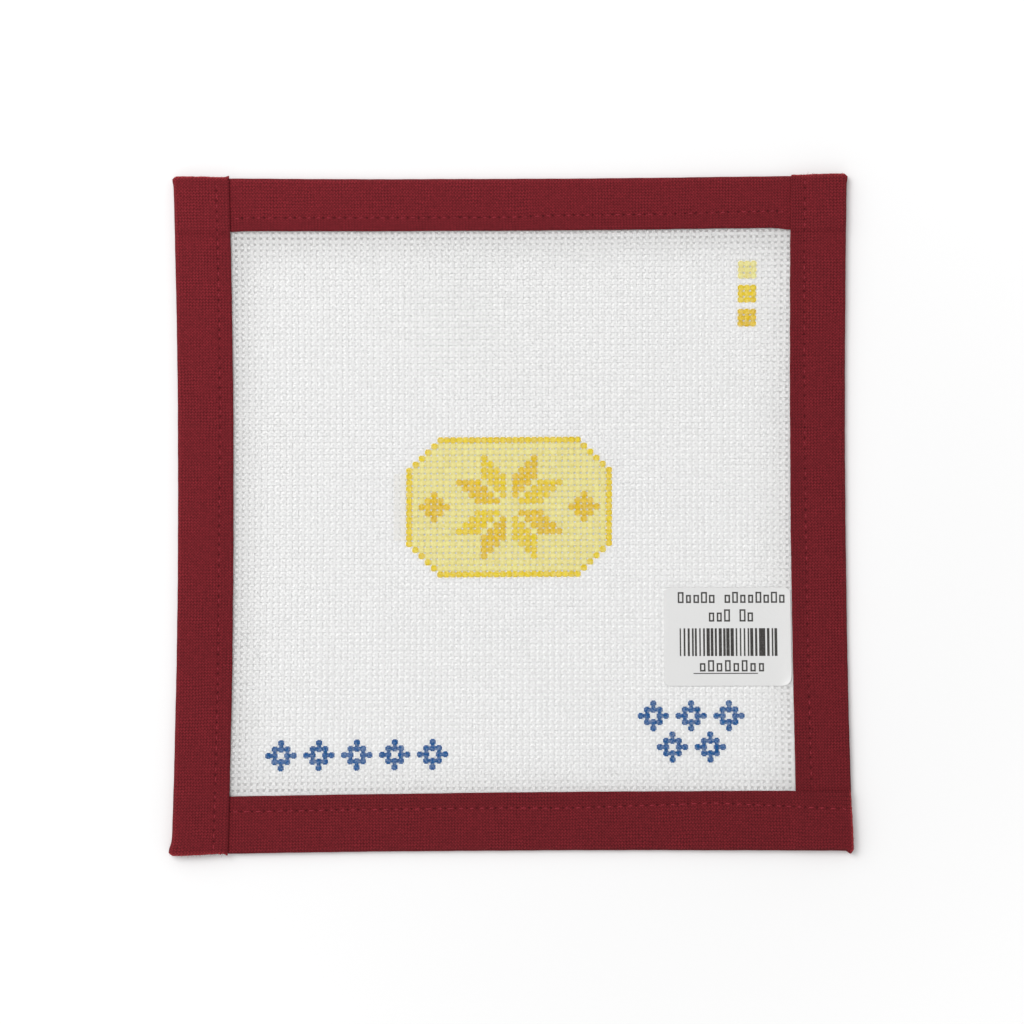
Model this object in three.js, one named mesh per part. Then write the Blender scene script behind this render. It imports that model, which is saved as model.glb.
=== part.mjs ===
// A needlepoint canvas, bound all round and lying face up: one square of open woven canvas, four
// folded cloth tapes sewn over its edges, the lockstitch seams that hold them, and a paper price
// label stuck on the front. Millimetres, +Z up, resting on Z 0, with its middle at X 0, Y 0.
//
// Everything is drawn on the flat piece first, at (u, v) from its middle and w above the canvas's
// mid-plane. layDown() then gives it the slightly uneven outline and the sag of the real one.

import * as THREE from "three";

const { lerp, smoothstep } = THREE.MathUtils;

// Driving dimensions, in millimetres
const HALF_WIDTH = 106.7; // middle to the left and right folds of the binding
const HALF_HEIGHT = 106.5; // middle to the top and bottom folds
const CANVAS_THICKNESS = 0.9; // two crossing threads
const TAPE_THICKNESS = 0.6;
const TAPE_WIDTH = 33; // unfolded
const FRONT_LEAF = { top: 16.2, right: 17.5, bottom: 18.4, left: 17.7 }; // what shows in front
const SEAM_INSET = 4.4; // seam to the front leaf's free edge
const STITCH_LENGTH = 3;
const THREAD_WIDTH = 0.42;
const THREAD_HEIGHT = 0.22;
const LABEL = { u: 68.6, v: -39, width: 40.5, height: 31.2, corner: 2, thickness: 0.15 };

// Clearances
const GAP = 0.1; // canvas to tape, and tape to tape
const LABEL_GAP = 0.15; // canvas to label
const THREAD_GAP = 0.09; // tape to seam thread
const CANVAS_INSET = 1.5; // fold to the canvas's cut edge
const UNDER_INSET = 1.8; // fold to the cut end of a tape that another one wraps

// How far the real outline is off a true rectangle
const CORNER_SHIFT = {
  topLeft: [0.2, -0.5],
  topRight: [-1.0, 0.5],
  bottomRight: [0.9, 0.6],
  bottomLeft: [-0.4, -0.6],
};
const BOW = { left: 1.7, right: 1.3, top: 0.6, bottom: 0.8 }; // inward, at the middle of each side

// The tape's puff between fold and seam, its free edge, and its climb over another tape
const CROWN = 0.4; // along the sides
const CORNER_CROWN = 0.32; // where the tape lies over another
const CROWN_POWER = 0.7; // under 1 squares the puff
const SEAM_EASE = { front: 1.8, back: 3 }; // from the seam to where the puff is well up
const EDGE_LIFT = 0.12;
const FOLD_RADIUS = 1.3; // of the middle of the cloth
const RAMP = { start: 4.6, end: 0.4 }; // short of the edge of the tape that is climbed over

// A cut end: it stands out past the fold that it covers, both of its corners stand out further as
// ears, and its fold spreads sideways
const CUT_END = { overhang: 0.25, ear: 0.45, pull: 5, flare: 0.7, flareLength: 1.8, flareDepth: 8 };
const EAR_WIDTH = { fold: 2, edge: 1.6 };
const SEAM_STOP = { atCut: 1.5, underTape: 0.8 };

// How the piece lies: corners are two tapes thick, and the canvas sags to the table inside the rim
const CORNER_FLAT = 24;
const CORNER_RUN = 45;
const SAG_START = 18.9; // from the fold
const SAG_RUN = 32;
const TABLE_CLEARANCE = 0.05;

// Facets
const STEPS = { sag: 6, table: 6, tape: 11, climb: 3, label: 6 };
const CUT_ROWS = [0, 1, 2.2, 4.5]; // from a cut end that lies on top
const UNDER_ROWS = [0, 9]; // from a cut end that is covered
const PAST_CLIMB = 5;

const LAYER = TAPE_THICKNESS + GAP;
const TABLE_HEIGHT = CANVAS_THICKNESS / 2 + TABLE_CLEARANCE;
const SIDE_HEIGHT = CANVAS_THICKNESS / 2 + LAYER + CROWN;
const CORNER_HEIGHT = CANVAS_THICKNESS / 2 + 2 * LAYER + CORNER_CROWN;

const MATERIALS = {
  canvas: new THREE.MeshStandardMaterial({ color: 0xececea, roughness: 0.8, metalness: 0 }),
  tape: new THREE.MeshStandardMaterial({ color: 0x76242c, roughness: 0.9, metalness: 0 }),
  thread: new THREE.MeshStandardMaterial({ color: 0x93303a, roughness: 0.6, metalness: 0 }),
  label: new THREE.MeshStandardMaterial({ color: 0xe8e8e7, roughness: 0.45, metalness: 0 }),
};

// The four tapes in the order they were sewn. Each side runs anticlockwise from its first end to
// its last, and its tape lies over the next one there, or under it.
const TAPES = {
  top: { first: { over: false, by: "right" }, last: { over: false, by: "left" } },
  right: { first: { over: false, by: "bottom" }, last: { over: true, by: "top" } },
  bottom: { first: { over: false, by: "left" }, last: { over: true, by: "right" } },
  left: { first: { over: true, by: "top" }, last: { over: true, by: "bottom" } },
};

// 1 at 0, falling off smoothly over a width
const bump = (distance, width) => Math.exp(-((distance / width) ** 2));

// 0 along the middle of a side, 1 in the stretch next to a corner
function nearCorner(place, half) {
  const flat = half - CORNER_FLAT;
  return smoothstep(Math.abs(place), flat - CORNER_RUN, flat);
}

// 0 on the rim, 1 where the canvas has come down to the table
function sagged(place, half) {
  return smoothstep(half - Math.abs(place), SAG_START, SAG_START + SAG_RUN);
}

// Height of the canvas's mid-plane over the table
function midHeight(u, v) {
  const corner = nearCorner(u, HALF_WIDTH) * nearCorner(v, HALF_HEIGHT);
  const rim = lerp(SIDE_HEIGHT, CORNER_HEIGHT, corner);
  return lerp(rim, TABLE_HEIGHT, sagged(u, HALF_WIDTH) * sagged(v, HALF_HEIGHT));
}

// A point of the flat piece, where it really lies
function layDown(u, v, w) {
  const across = (1 + u / HALF_WIDTH) / 2;
  const up = (1 + v / HALF_HEIGHT) / 2;
  const { topLeft, topRight, bottomRight, bottomLeft } = CORNER_SHIFT;
  const [shiftX, shiftY] = [0, 1].map((axis) => {
    const bottom = lerp(bottomLeft[axis], bottomRight[axis], across);
    const top = lerp(topLeft[axis], topRight[axis], across);
    return lerp(bottom, top, up);
  });
  const bowX = (1 - (v / HALF_HEIGHT) ** 2) * lerp(BOW.left, -BOW.right, across);
  const bowY = (1 - (u / HALF_WIDTH) ** 2) * lerp(BOW.bottom, -BOW.top, up);
  return new THREE.Vector3(u + shiftX + bowX, v + shiftY + bowY, midHeight(u, v) + w);
}

// A thin box with its two large faces laid over two grids of points, upper[row][column] and
// lower[row][column]. Columns, rows and the way from lower to upper are a right-handed set.
function slab(name, upper, lower, material) {
  const columns = upper[0].length - 1;
  const rows = upper.length - 1;
  const geometry = new THREE.BoxGeometry(columns, rows, 1, columns, rows, 1);
  const { position } = geometry.attributes;
  for (let i = 0; i < position.count; i++) {
    const grid = position.getZ(i) > 0 ? upper : lower;
    const column = Math.round(position.getX(i) + columns / 2);
    const row = Math.round(position.getY(i) + rows / 2);
    position.setXYZ(i, ...grid[row][column]);
  }
  geometry.computeVertexNormals();
  const mesh = new THREE.Mesh(geometry, material);
  mesh.name = name;
  return mesh;
}

function evenly(from, to, steps) {
  return Array.from({ length: steps + 1 }, (_, i) => lerp(from, to, i / steps));
}

// The canvas's grid: close lines where it sags, wide ones on the rim and on the table
function canvasLines(half) {
  const sag = evenly(-half + SAG_START, -half + SAG_START + SAG_RUN, STEPS.sag);
  const side = [-half + CANVAS_INSET, -half + SAG_START / 2, ...sag];
  const inner = side[side.length - 1];
  const middle = evenly(inner, -inner, STEPS.table).slice(1, -1);
  return [...side, ...middle, ...side.map((x) => -x).reverse()];
}

function canvas() {
  const face = (w) =>
    canvasLines(HALF_HEIGHT).map((v) => canvasLines(HALF_WIDTH).map((u) => layDown(u, v, w)));
  return slab("canvas", face(CANVAS_THICKNESS / 2), face(-CANVAS_THICKNESS / 2), MATERIALS.canvas);
}

const upright = (side) => side === "left" || side === "right";
const halfAlong = (side) => (upright(side) ? HALF_HEIGHT : HALF_WIDTH);
const endAt = (side, along) => TAPES[side][along < 0 ? "first" : "last"];
const leafWidth = (side, front) => (front ? FRONT_LEAF[side] : TAPE_WIDTH - FRONT_LEAF[side]);
const seamInward = (side) => FRONT_LEAF[side] - SEAM_INSET;

// A point of a side, given along it from its middle and inward from its fold, on the flat piece
function onSide(side, along, inward) {
  const out = (upright(side) ? HALF_WIDTH : HALF_HEIGHT) - inward;
  const places = {
    bottom: [along, -out],
    right: [out, along],
    top: [-along, out],
    left: [-out, -along],
  };
  return places[side];
}

// Where a tape is cut, and where it has to be clear of the tape that it climbs over
const cutAt = (side, end) => halfAlong(side) + (end.over ? CUT_END.overhang : -UNDER_INSET);
const climbedAt = (side, end) =>
  halfAlong(side) - Math.max(leafWidth(end.by, true), leafWidth(end.by, false));

// How much higher a tape runs where it has climbed over its neighbour
function climb(side, along) {
  const end = endAt(side, along);
  if (!end.over) return 0;
  const edge = climbedAt(side, end);
  return LAYER * smoothstep(Math.abs(along), edge - RAMP.start, edge - RAMP.end);
}

// The middle of the cloth, outward from the canvas's mid-plane
function leafHeight(side, along, inward, front) {
  const seam = seamInward(side);
  const corner = nearCorner(along, halfAlong(side));
  const resting = CANVAS_THICKNESS / 2 + GAP + TAPE_THICKNESS / 2 + climb(side, along);
  if (inward > seam) {
    const lift = EDGE_LIFT * Math.min(1, (inward - seam) / SEAM_INSET) ** 2;
    return resting + lift * (1 - corner);
  }
  const crown = lerp(CROWN, endAt(side, along).over ? CORNER_CROWN : 0, corner);
  const puff = front
    ? Math.sin((Math.PI * (inward + FOLD_RADIUS)) / (seam + FOLD_RADIUS)) ** CROWN_POWER
    : 1 - smoothstep(inward, seam - SEAM_EASE.back, seam);
  return resting + crown * puff;
}

// The middle of the cloth as [inward, height], from the front free edge round the fold to the back
function tapeSection(side, along) {
  const seam = seamInward(side);
  const [front, back] = [true, false].map((isFront) => leafWidth(side, isFront));
  const foldEnd = TAPE_THICKNESS / 2 + FOLD_RADIUS;
  const eased = seam - SEAM_EASE.front;
  const frontPlaces = [front, (front + seam) / 2, seam, eased, (eased + foldEnd) / 2, foldEnd];
  const backPlaces = [foldEnd, seam / 2, seam - SEAM_EASE.back, seam, back];
  const fold = [45, 0, -45].map((degrees) => {
    const angle = THREE.MathUtils.degToRad(degrees);
    const height = leafHeight(side, along, foldEnd, degrees > 0);
    return [foldEnd - FOLD_RADIUS * Math.cos(angle), height * Math.sin(angle)];
  });
  return [
    ...frontPlaces.map((inward) => [inward, leafHeight(side, along, inward, true)]),
    ...fold,
    ...backPlaces.map((inward) => [inward, -leafHeight(side, along, inward, false)]),
  ];
}

// The rows of a tape along its side: close ones at a cut end and on the climb, wide ones between
function tapeRows(side) {
  const endRows = (end) => {
    const cut = cutAt(side, end);
    if (!end.over) return UNDER_ROWS.map((row) => cut - row);
    const edge = climbedAt(side, end);
    const climbing = evenly(edge - RAMP.end, edge - RAMP.start, STEPS.climb);
    return [...CUT_ROWS.map((row) => cut - row), edge + PAST_CLIMB, ...climbing];
  };
  const { first, last } = TAPES[side];
  const start = endRows(first).map((along) => -along);
  const finish = endRows(last).reverse();
  const middle = evenly(start[start.length - 1], finish[0], STEPS.tape).slice(1, -1);
  return [...start, ...middle, ...finish];
}

// A cut end is a little longer at its fold and at its free edge, and the fold spreads there
function frayed(side, along, inward, front) {
  const end = endAt(side, along);
  if (!end.over) return [along, inward];
  const fromCut = cutAt(side, end) - Math.abs(along);
  const fromFree = leafWidth(side, front) - inward;
  const { ear, pull, flare, flareLength, flareDepth } = CUT_END;
  const fadedEar = ear * (1 - smoothstep(fromCut, 0, pull));
  const longer = fadedEar * (bump(inward, EAR_WIDTH.fold) + bump(fromFree, EAR_WIDTH.edge));
  const wider = flare * bump(fromCut, flareLength) * Math.max(0, 1 - inward / flareDepth);
  return [along + Math.sign(along) * longer, inward - wider];
}

function tape(side) {
  const face = (outward) =>
    tapeRows(side).map((along) => {
      const section = tapeSection(side, along);
      return section.map(([inward, height], i) => {
        const before = section[Math.max(0, i - 1)];
        const after = section[Math.min(section.length - 1, i + 1)];
        const normal = new THREE.Vector2(after[1] - before[1], before[0] - after[0]);
        normal.setLength(outward * (TAPE_THICKNESS / 2));
        const place = frayed(side, along, inward + normal.x, height >= 0);
        return layDown(...onSide(side, ...place), height + normal.y);
      });
    });
  return slab(`binding_${side}`, face(1), face(-1), MATERIALS.tape);
}

// A seam ends short of a cut end, or of the edge of the tape that covers it
function seamEnd(side, end) {
  if (end.over) return cutAt(side, end) - SEAM_STOP.atCut;
  return halfAlong(side) - FRONT_LEAF[end.by] - SEAM_STOP.underTape;
}

// A point over the seam's line, in the flat facets between two rows of the tape
function overSeam(side, along, offset, above, front) {
  const rows = tapeRows(side);
  const next = rows.findIndex((row) => row > along);
  const inward = seamInward(side);
  const [from, to] = [rows[next - 1], rows[next]].map((row) => {
    const height = leafHeight(side, row, inward, front) + TAPE_THICKNESS / 2 + above;
    return layDown(...onSide(side, row, inward + offset), front ? height : -height);
  });
  return from.lerp(to, (along - rows[next - 1]) / (rows[next] - rows[next - 1]));
}

// One lockstitch seam on one face: in front it is thin and low at each needle hole, and behind it
// is plain
function seam(side, front) {
  const { first, last } = TAPES[side];
  const start = -seamEnd(side, first);
  const finish = seamEnd(side, last);
  const halfStitches = 2 * Math.round((finish - start) / STITCH_LENGTH);
  const rows = tapeRows(side).filter((row) => row > start && row < finish);
  const places = front ? evenly(start, finish, halfStitches) : [start, ...rows, finish];
  const face = (top) =>
    places.map((along, i) => {
      const hole = front && i % 2 === 0;
      const half = (THREAD_WIDTH / 2) * (hole ? 0.5 : 1);
      const above = THREAD_GAP + (top ? THREAD_HEIGHT * (hole ? 0.4 : 1) : 0);
      const offsets = front ? [half, -half] : [-half, half];
      return offsets.map((offset) => overSeam(side, along, offset, above, front));
    });
  return slab(`seam_${side}_${front ? "front" : "back"}`, face(true), face(false), MATERIALS.thread);
}

// A point of the label's square grid, drawn in to its rounded corners
function rounded(x, y) {
  const innerX = LABEL.width / 2 - LABEL.corner;
  const innerY = LABEL.height / 2 - LABEL.corner;
  const pastX = Math.abs(x) - innerX;
  const pastY = Math.abs(y) - innerY;
  if (pastX <= 0 || pastY <= 0) return [x, y];
  const pull = Math.max(pastX, pastY) / Math.hypot(pastX, pastY);
  return [Math.sign(x) * (innerX + pastX * pull), Math.sign(y) * (innerY + pastY * pull)];
}

function labelLines(size) {
  const inner = size / 2 - LABEL.corner;
  const edge = [-size / 2, -inner - LABEL.corner / 2];
  return [...edge, ...evenly(-inner, inner, STEPS.label), ...edge.map((x) => -x).reverse()];
}

function priceLabel() {
  const underside = CANVAS_THICKNESS / 2 + LABEL_GAP;
  const face = (w) =>
    labelLines(LABEL.height).map((y) =>
      labelLines(LABEL.width).map((x) => {
        const [du, dv] = rounded(x, y);
        return layDown(LABEL.u + du, LABEL.v + dv, w);
      }),
    );
  return slab("price_label", face(underside + LABEL.thickness), face(underside), MATERIALS.label);
}

const root = new THREE.Group();
root.add(canvas(), priceLabel());
for (const side of Object.keys(TAPES)) {
  root.add(tape(side), seam(side, true), seam(side, false));
}

export default root;
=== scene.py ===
"""A needlepoint canvas that lies face up: every thread of the open woven canvas, its painted
crossings, the folded tapes round it with their lockstitch seams and frayed ends, and a price label.

Shapes are worked out in millimetres on the flat piece, at (u, v) from its middle and w above the
canvas's mid-plane. lay_down() gives them the uneven outline and the sag of the real one, in metres.
"""

import math

import bpy
import numpy as np
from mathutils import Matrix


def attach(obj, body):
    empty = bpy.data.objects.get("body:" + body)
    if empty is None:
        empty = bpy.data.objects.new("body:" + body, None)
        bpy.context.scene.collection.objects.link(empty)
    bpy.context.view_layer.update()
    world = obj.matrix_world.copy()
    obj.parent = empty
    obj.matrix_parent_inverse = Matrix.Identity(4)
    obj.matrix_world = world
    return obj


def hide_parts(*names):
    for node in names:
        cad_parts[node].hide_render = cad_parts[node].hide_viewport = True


bl_info = {
    "name": "Needlepoint canvas",
    "version": (1, 0, 0),
    "blender": (4, 5, 0),
    "location": "View3D > Sidebar > Needlepoint",
    "description": "Weaves, paints, binds and labels a needlepoint canvas",
    "category": "Add Mesh",
}

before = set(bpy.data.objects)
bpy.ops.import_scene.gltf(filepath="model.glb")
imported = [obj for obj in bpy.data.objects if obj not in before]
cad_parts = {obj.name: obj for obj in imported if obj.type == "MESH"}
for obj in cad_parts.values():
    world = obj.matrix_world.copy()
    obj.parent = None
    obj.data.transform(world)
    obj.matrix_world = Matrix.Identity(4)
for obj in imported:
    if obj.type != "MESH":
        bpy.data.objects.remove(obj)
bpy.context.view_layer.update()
BODY = "root"
MM = 0.001

# The flat piece, in millimetres
HALF_WIDTH = 106.7
HALF_HEIGHT = 106.5
CANVAS_THICKNESS = 0.9
CANVAS_INSET = 1.4  # of its cut edge from the fold
FRONT_LEAF = {"top": 16.4, "right": 17.5, "bottom": 18.4, "left": 17.7}
LEAF_TAPER = {"top": 0.15, "right": 0.2, "bottom": 0.5}  # wider at its last end than in the middle
LEAF_END = {"top": (0.65, 0.3)}  # wider still next to its neighbours, at its first and last ends
LEAF_END_RUN = 6
BACK_SHORTER = 0.3  # at least, so that the back leaf is hidden behind the front one
BACK_CAUGHT = 1.9  # how far a back leaf goes on past its seam, at least
SEAM_INSET = 4.4  # of a seam from the front leaf's free edge, about
GAP = 0.1  # between two layers of cloth
UNDER_INSET = 1.8  # of a covered cut end from its neighbour's fold
OVERHANG = 0.3  # of a cut end that shows, past its neighbour's fold

# How it lies: how far each corner is out of square, how far each side bends in at its middle, how
# near to a corner the rim is at its highest and over what length it rises to that, and how far
# from the fold the canvas starts to go down and over what length it does most of it
CORNER_SHIFT = {
    "top_left": (0.2, -0.5),
    "top_right": (-1.0, 0.5),
    "bottom_right": (0.9, 0.6),
    "bottom_left": (-0.4, -0.6),
}
BOW = {"left": 1.7, "right": 1.3, "top": 0.6, "bottom": 0.6}
CORNER_FLAT = 24
CORNER_RUN = 45
SAG_START = 17.7
SAG_RUN = 3.6

# The tape's section
TAPE_THICKNESS = 0.6
LAYER = TAPE_THICKNESS + GAP
CROWN = 0.4  # how far a leaf swells between its fold and its seam
CORNER_CROWN = 0.32  # the same at a corner, for the tape that is on top there
CROWN_POWER = 0.7  # below 1, so that it swells soon after the fold
CROWN_UNEVEN = 0.3  # the share of it that comes and goes along the tape
SEAM_EASE_BACK = 3  # before its seam, where the back leaf comes down
EDGE_LIFT = 0.12  # of a front leaf's free edge
FOLD_RADIUS = 1.3
FOLD_END = TAPE_THICKNESS / 2 + FOLD_RADIUS
RAMP_START = 2.0  # before its neighbour's edge, where a tape starts to climb onto it
RAMP_END = 0.2  # before that edge, where it is up

# The mid-plane's height over the table: in the middle, and at the rim's sides and corners
REST_HEIGHT = 0.66
SIDE_HEIGHT = CANVAS_THICKNESS / 2 + LAYER + CROWN
CORNER_HEIGHT = CANVAS_THICKNESS / 2 + 2 * LAYER + CORNER_CROWN

# The tapes in the order they were sewn. Each side runs anticlockwise, and at its first and last
# end its tape lies over its neighbour or under it.
TAPES = {
    "top": (("under", "right"), ("under", "left")),
    "right": (("under", "bottom"), ("over", "top")),
    "bottom": (("under", "left"), ("over", "right")),
    "left": (("over", "top"), ("over", "bottom")),
}

# Seams: how far each one runs from the front leaf's free edge, at places along its side
SEAM_RUN = {
    "top": ((-86, 5.2), (-47, 4.65), (-16, 4.6), (0, 4.1), (86, 4.0)),
    "right": ((-87, 4.85), (0, 4.7), (88, 4.3)),
    "bottom": ((-86, 4.7), (0, 4.75), (16, 5.0), (47, 4.2), (63, 3.6), (79, 4.35), (104, 5.5)),
    "left": ((-99, 4.0), (-36, 4.0), (0, 4.4), (106, 4.4)),
}
STITCH = {"top": 3.3, "right": 3.25, "bottom": 3.35, "left": 3.1}
SEAM_PROUD = {"top": 0.55, "right": 0.4, "bottom": 0.65, "left": 0.47}

# Cut ends that show, by side and which end: how far they reach past the cloth under them at the
# fold and at the free edge, how much further the corner there does, how far and over what length
# the fold spreads, and how long the loose fibres are
CUT_ENDS = {
    ("left", -1): {"fold": 0.3, "free": 0.05, "ear": 0.5, "spread": 0.35, "run": 1.8, "fray": 0.8},
    ("left", 1): {"fold": 0.15, "free": -0.5, "ear": 0.75, "spread": 0.9, "run": 3.5, "fray": 1.5},
    ("right", 1): {"fold": 0.25, "free": -0.05, "ear": 0.15, "spread": 0.3, "run": 1.8, "fray": 1.0},
    ("bottom", 1): {"fold": 0.0, "free": -0.37, "ear": 0.0, "spread": 0.95, "run": 1.0, "fray": 0.8},
}

# Seeds of the random draws. On a tape or a seam the length of its side's name, which no other
# side's has, is added.
SEED = {
    "uprights": 11,
    "levels": 12,
    "paint": 31,
    "cut": 0,
    "back": 0,
    "front": 10,
    "holes": 40,
    "spacing": 41,
    "free edge": 50,
    "fold": 60,
    "stitches": 70,
    "fibres": 90,
}

# Meshes
BAKE_MAP = "OFBake"
CLOTH_MAP = "Cloth"
SEAM_MAP = "Seam"
PRINT_MAP = "Print"
PAINT = "paint"
WEAR = "wear"
MERGE = 2e-7  # metres between points that count as one
SPREAD = 3  # between tubes, each of radius and length 1, before they go to their places
STRIP_MARGIN = 0.03  # of a tube's strip on the map, kept clear at each edge
SHORTEST_STEP = 0.1 * MM  # on a slab's map, so that no face is without its place there
PRESSED_TOP = 0.9  # how wide the top of a pressed thread is, for each mm underneath
EDGE_BULGE = 0.25  # how far a slab's edges are rounded out, for each mm of thickness


# ---------------------------------------------------------------- sizes and colours


def length(name, description, millimetres):
    return bpy.props.FloatProperty(
        name=name, description=description, default=millimetres * MM, unit="LENGTH", precision=5
    )


def colour(name, description, rgb):
    return bpy.props.FloatVectorProperty(
        name=name, description=description, default=rgb, size=3, subtype="COLOR", min=0, max=1
    )


def point(name, description, metres):
    return bpy.props.FloatVectorProperty(
        name=name, description=description, default=metres, size=3, subtype="XYZ", unit="LENGTH"
    )


def amount(name, description, default):
    return bpy.props.FloatProperty(name=name, description=description, default=default, min=0)


def whole(name, description, default):
    return bpy.props.IntProperty(name=name, description=description, default=default, min=1)


class CanvasSettings(bpy.types.PropertyGroup):
    uprights: whole("Upright threads", "Threads from bottom to top", 105)
    levels: whole("Level threads", "Threads from side to side", 107)
    pitch_across: length("Pitch across", "From one upright thread to the next", 1.998)
    pitch_up: length("Pitch up", "From one level thread to the next", 1.938)
    shift_across: length("Shift across", "Place of the middle upright thread", -0.85)
    shift_up: length("Shift up", "Place of the middle level thread", 0.55)
    crest_width: length("Width on top", "Width of a thread where it is on top", 1.38)
    neck_width: length("Width between", "Width of a thread between two crossings", 1.12)
    under_width: length("Width below", "Width of a thread where it is below", 1.38)
    thread_height: length("Thread height", "Thickness of a thread", 0.24)
    crimp: length("Crimp", "How far a thread goes up and down from the mid-plane", 0.03)
    cotton: colour("Cotton", "The bare threads", (0.898, 0.898, 0.89))


class PaintSettings(bpy.types.PropertyGroup):
    pale: colour("Pale", "The medallion's ground", (0.92, 0.77, 0.27))
    medium: colour("Medium", "Outline and every other petal", (0.86, 0.60, 0.014))
    deep: colour("Deep", "The other petals and the small diamonds", (0.80, 0.52, 0.006))
    blue: colour("Blue", "The rows of diamonds", (0.003, 0.095, 0.295))
    thickness: length("Thickness", "How much wider paint makes a thread", 0.24)


class TapeSettings(bpy.types.PropertyGroup):
    width: length("Width", "Width of the tape unfolded", 33)
    yarn_spacing: length("Yarn spacing", "From one yarn of the weave to the next", 0.49)
    # Painted shade: the cloth is darker between the yarns than on their tops
    dark: colour("Dark", "Cloth between the yarns", (0.121, 0.0089, 0.0131))
    light: colour("Light", "Tops of the yarns", (0.206, 0.0165, 0.0236))
    worn: colour("Worn", "Cut ends and rubbed folds", (0.30, 0.032, 0.038))


class SeamSettings(bpy.types.PropertyGroup):
    thread: length("Thread", "Thickness of the sewing thread", 0.38)
    red: colour("Red", "The sewing thread", (0.30, 0.019, 0.034))
    fibres: whole("Loose fibres", "Loose fibres on each cut end", 130)


class LabelSettings(bpy.types.PropertyGroup):
    across: length("Across", "The label's middle, from the canvas's middle", 68.6)
    up: length("Up", "The label's middle, from the canvas's middle", -39)
    width: length("Width", "Width of the label", 40.5)
    height: length("Height", "Height of the label", 31.2)
    corner: length("Corner", "Radius of its corners", 2)
    thickness: length("Thickness", "Thickness of the paper", 0.12)
    curl: length("Curl", "How far its lower right corner has come up", 0.6)
    paper: colour("Paper", "The paper", (0.72, 0.72, 0.715))
    ink: colour("Ink", "The print", (0.022, 0.019, 0.017))


class StageSettings(bpy.types.PropertyGroup):
    aim_across: length("Aim across", "Where the camera looks, from the middle", 0.21)
    aim_up: length("Aim up", "Where the camera looks, from the middle", 0.85)
    camera_height: length("Camera height", "Height of the camera over the table", 898.3)
    lens: amount("Lens", "Focal length in millimetres", 100)
    sky: amount("Sky", "Strength of the light from all round", 0.58)
    key_lamp: amount("Key lamp", "Power of the nearer, smaller lamp, in watts", 11.0)
    key_size: length("Key lamp size", "Side of the nearer lamp", 800)
    key_place: point("Key lamp place", "Where the nearer lamp hangs", (-0.65, 0.5, 1.5))
    wide_lamp: amount("Wide lamp", "Power of the wide lamp beyond it, in watts", 13.5)
    wide_size: length("Wide lamp size", "Side of the wide lamp", 2200)
    wide_place: point("Wide lamp place", "Where the wide lamp hangs", (-1.1, 0.75, 1.6))
    table: colour("Table", "The table", (0.90, 0.90, 0.90))
    # Painted light: the table glows though it is no lamp, most under the open canvas to lighten its
    # holes
    under_glow: amount("Under glow", "Light that the lit table adds under the open canvas", 0.13)
    near_glow: amount("Near glow", "Light that the lit table itself gives beside the piece", 0.045)
    far_glow: amount("Far glow", "Light that the lit table itself gives further off", 0.115)


SETTINGS = {
    "canvas": CanvasSettings,
    "paint": PaintSettings,
    "tape": TapeSettings,
    "seam": SeamSettings,
    "label": LabelSettings,
    "stage": StageSettings,
}


def settings(name):
    return getattr(bpy.context.scene, "needlepoint_" + name)


def in_millimetres(name, *fields):
    return [getattr(settings(name), field) / MM for field in fields]


# ---------------------------------------------------------------- numbers


def smoothstep(x, low, high):
    t = np.clip((x - low) / (high - low), 0, 1)
    return t * t * (3 - 2 * t)


def lerp(a, b, t):
    return a + (b - a) * t


def bump(distance, width):
    return np.exp(-((distance / width) ** 2))


def draws(use, side=""):
    return np.random.default_rng(SEED[use] + len(side))


def waver(place, size, lengths, use, side):
    """Smooth unevenness along a line, up to a size to each side."""
    phases = draws(use, side).uniform(0, 2 * np.pi, len(lengths))
    waves = [np.sin(2 * np.pi * place / each + phase) for each, phase in zip(lengths, phases)]
    return size * sum(waves) / len(waves)


# ---------------------------------------------------------------- the flat piece laid down


def near_corner(place, half):
    flat = half - CORNER_FLAT
    return smoothstep(abs(place), flat - CORNER_RUN, flat)


def sagged(place, half):
    return 1 - np.exp(-np.maximum(half - abs(place) - SAG_START, 0) / SAG_RUN)


def mid_height(u, v):
    corner = near_corner(u, HALF_WIDTH) * near_corner(v, HALF_HEIGHT)
    rim = lerp(SIDE_HEIGHT, CORNER_HEIGHT, corner)
    return lerp(rim, REST_HEIGHT, sagged(u, HALF_WIDTH) * sagged(v, HALF_HEIGHT))


def lay_down(u, v, w):
    """Points of the flat piece where they really lie, in metres."""
    u, v, w = np.broadcast_arrays(u, v, w)
    across, up = (1 + u / HALF_WIDTH) / 2, (1 + v / HALF_HEIGHT) / 2
    shift = {name: np.array(by) for name, by in CORNER_SHIFT.items()}
    bottom = lerp(shift["bottom_left"], shift["bottom_right"], across[..., None])
    top = lerp(shift["top_left"], shift["top_right"], across[..., None])
    moved = lerp(bottom, top, up[..., None])
    bow_x = (1 - (v / HALF_HEIGHT) ** 2) * lerp(BOW["left"], -BOW["right"], across)
    bow_y = (1 - (u / HALF_WIDTH) ** 2) * lerp(BOW["bottom"], -BOW["top"], up)
    x, y, z = u + moved[..., 0] + bow_x, v + moved[..., 1] + bow_y, mid_height(u, v) + w
    return np.stack([x, y, z], axis=-1) * MM


# ---------------------------------------------------------------- meshes


def points_of(mesh):
    flat = np.empty(len(mesh.vertices) * 3)
    mesh.vertices.foreach_get("co", flat)
    return flat.reshape(-1, 3)


def move_points(mesh, points):
    mesh.vertices.foreach_set("co", np.asarray(points, np.float32).ravel())
    mesh.update()


def places_of(mesh, name=BAKE_MAP):
    """A map's places, one for each corner of each face."""
    flat = np.empty(len(mesh.loops) * 2, np.float32)
    mesh.uv_layers[name].data.foreach_get("uv", flat)
    return flat.reshape(-1, 2).astype(float)


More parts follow.
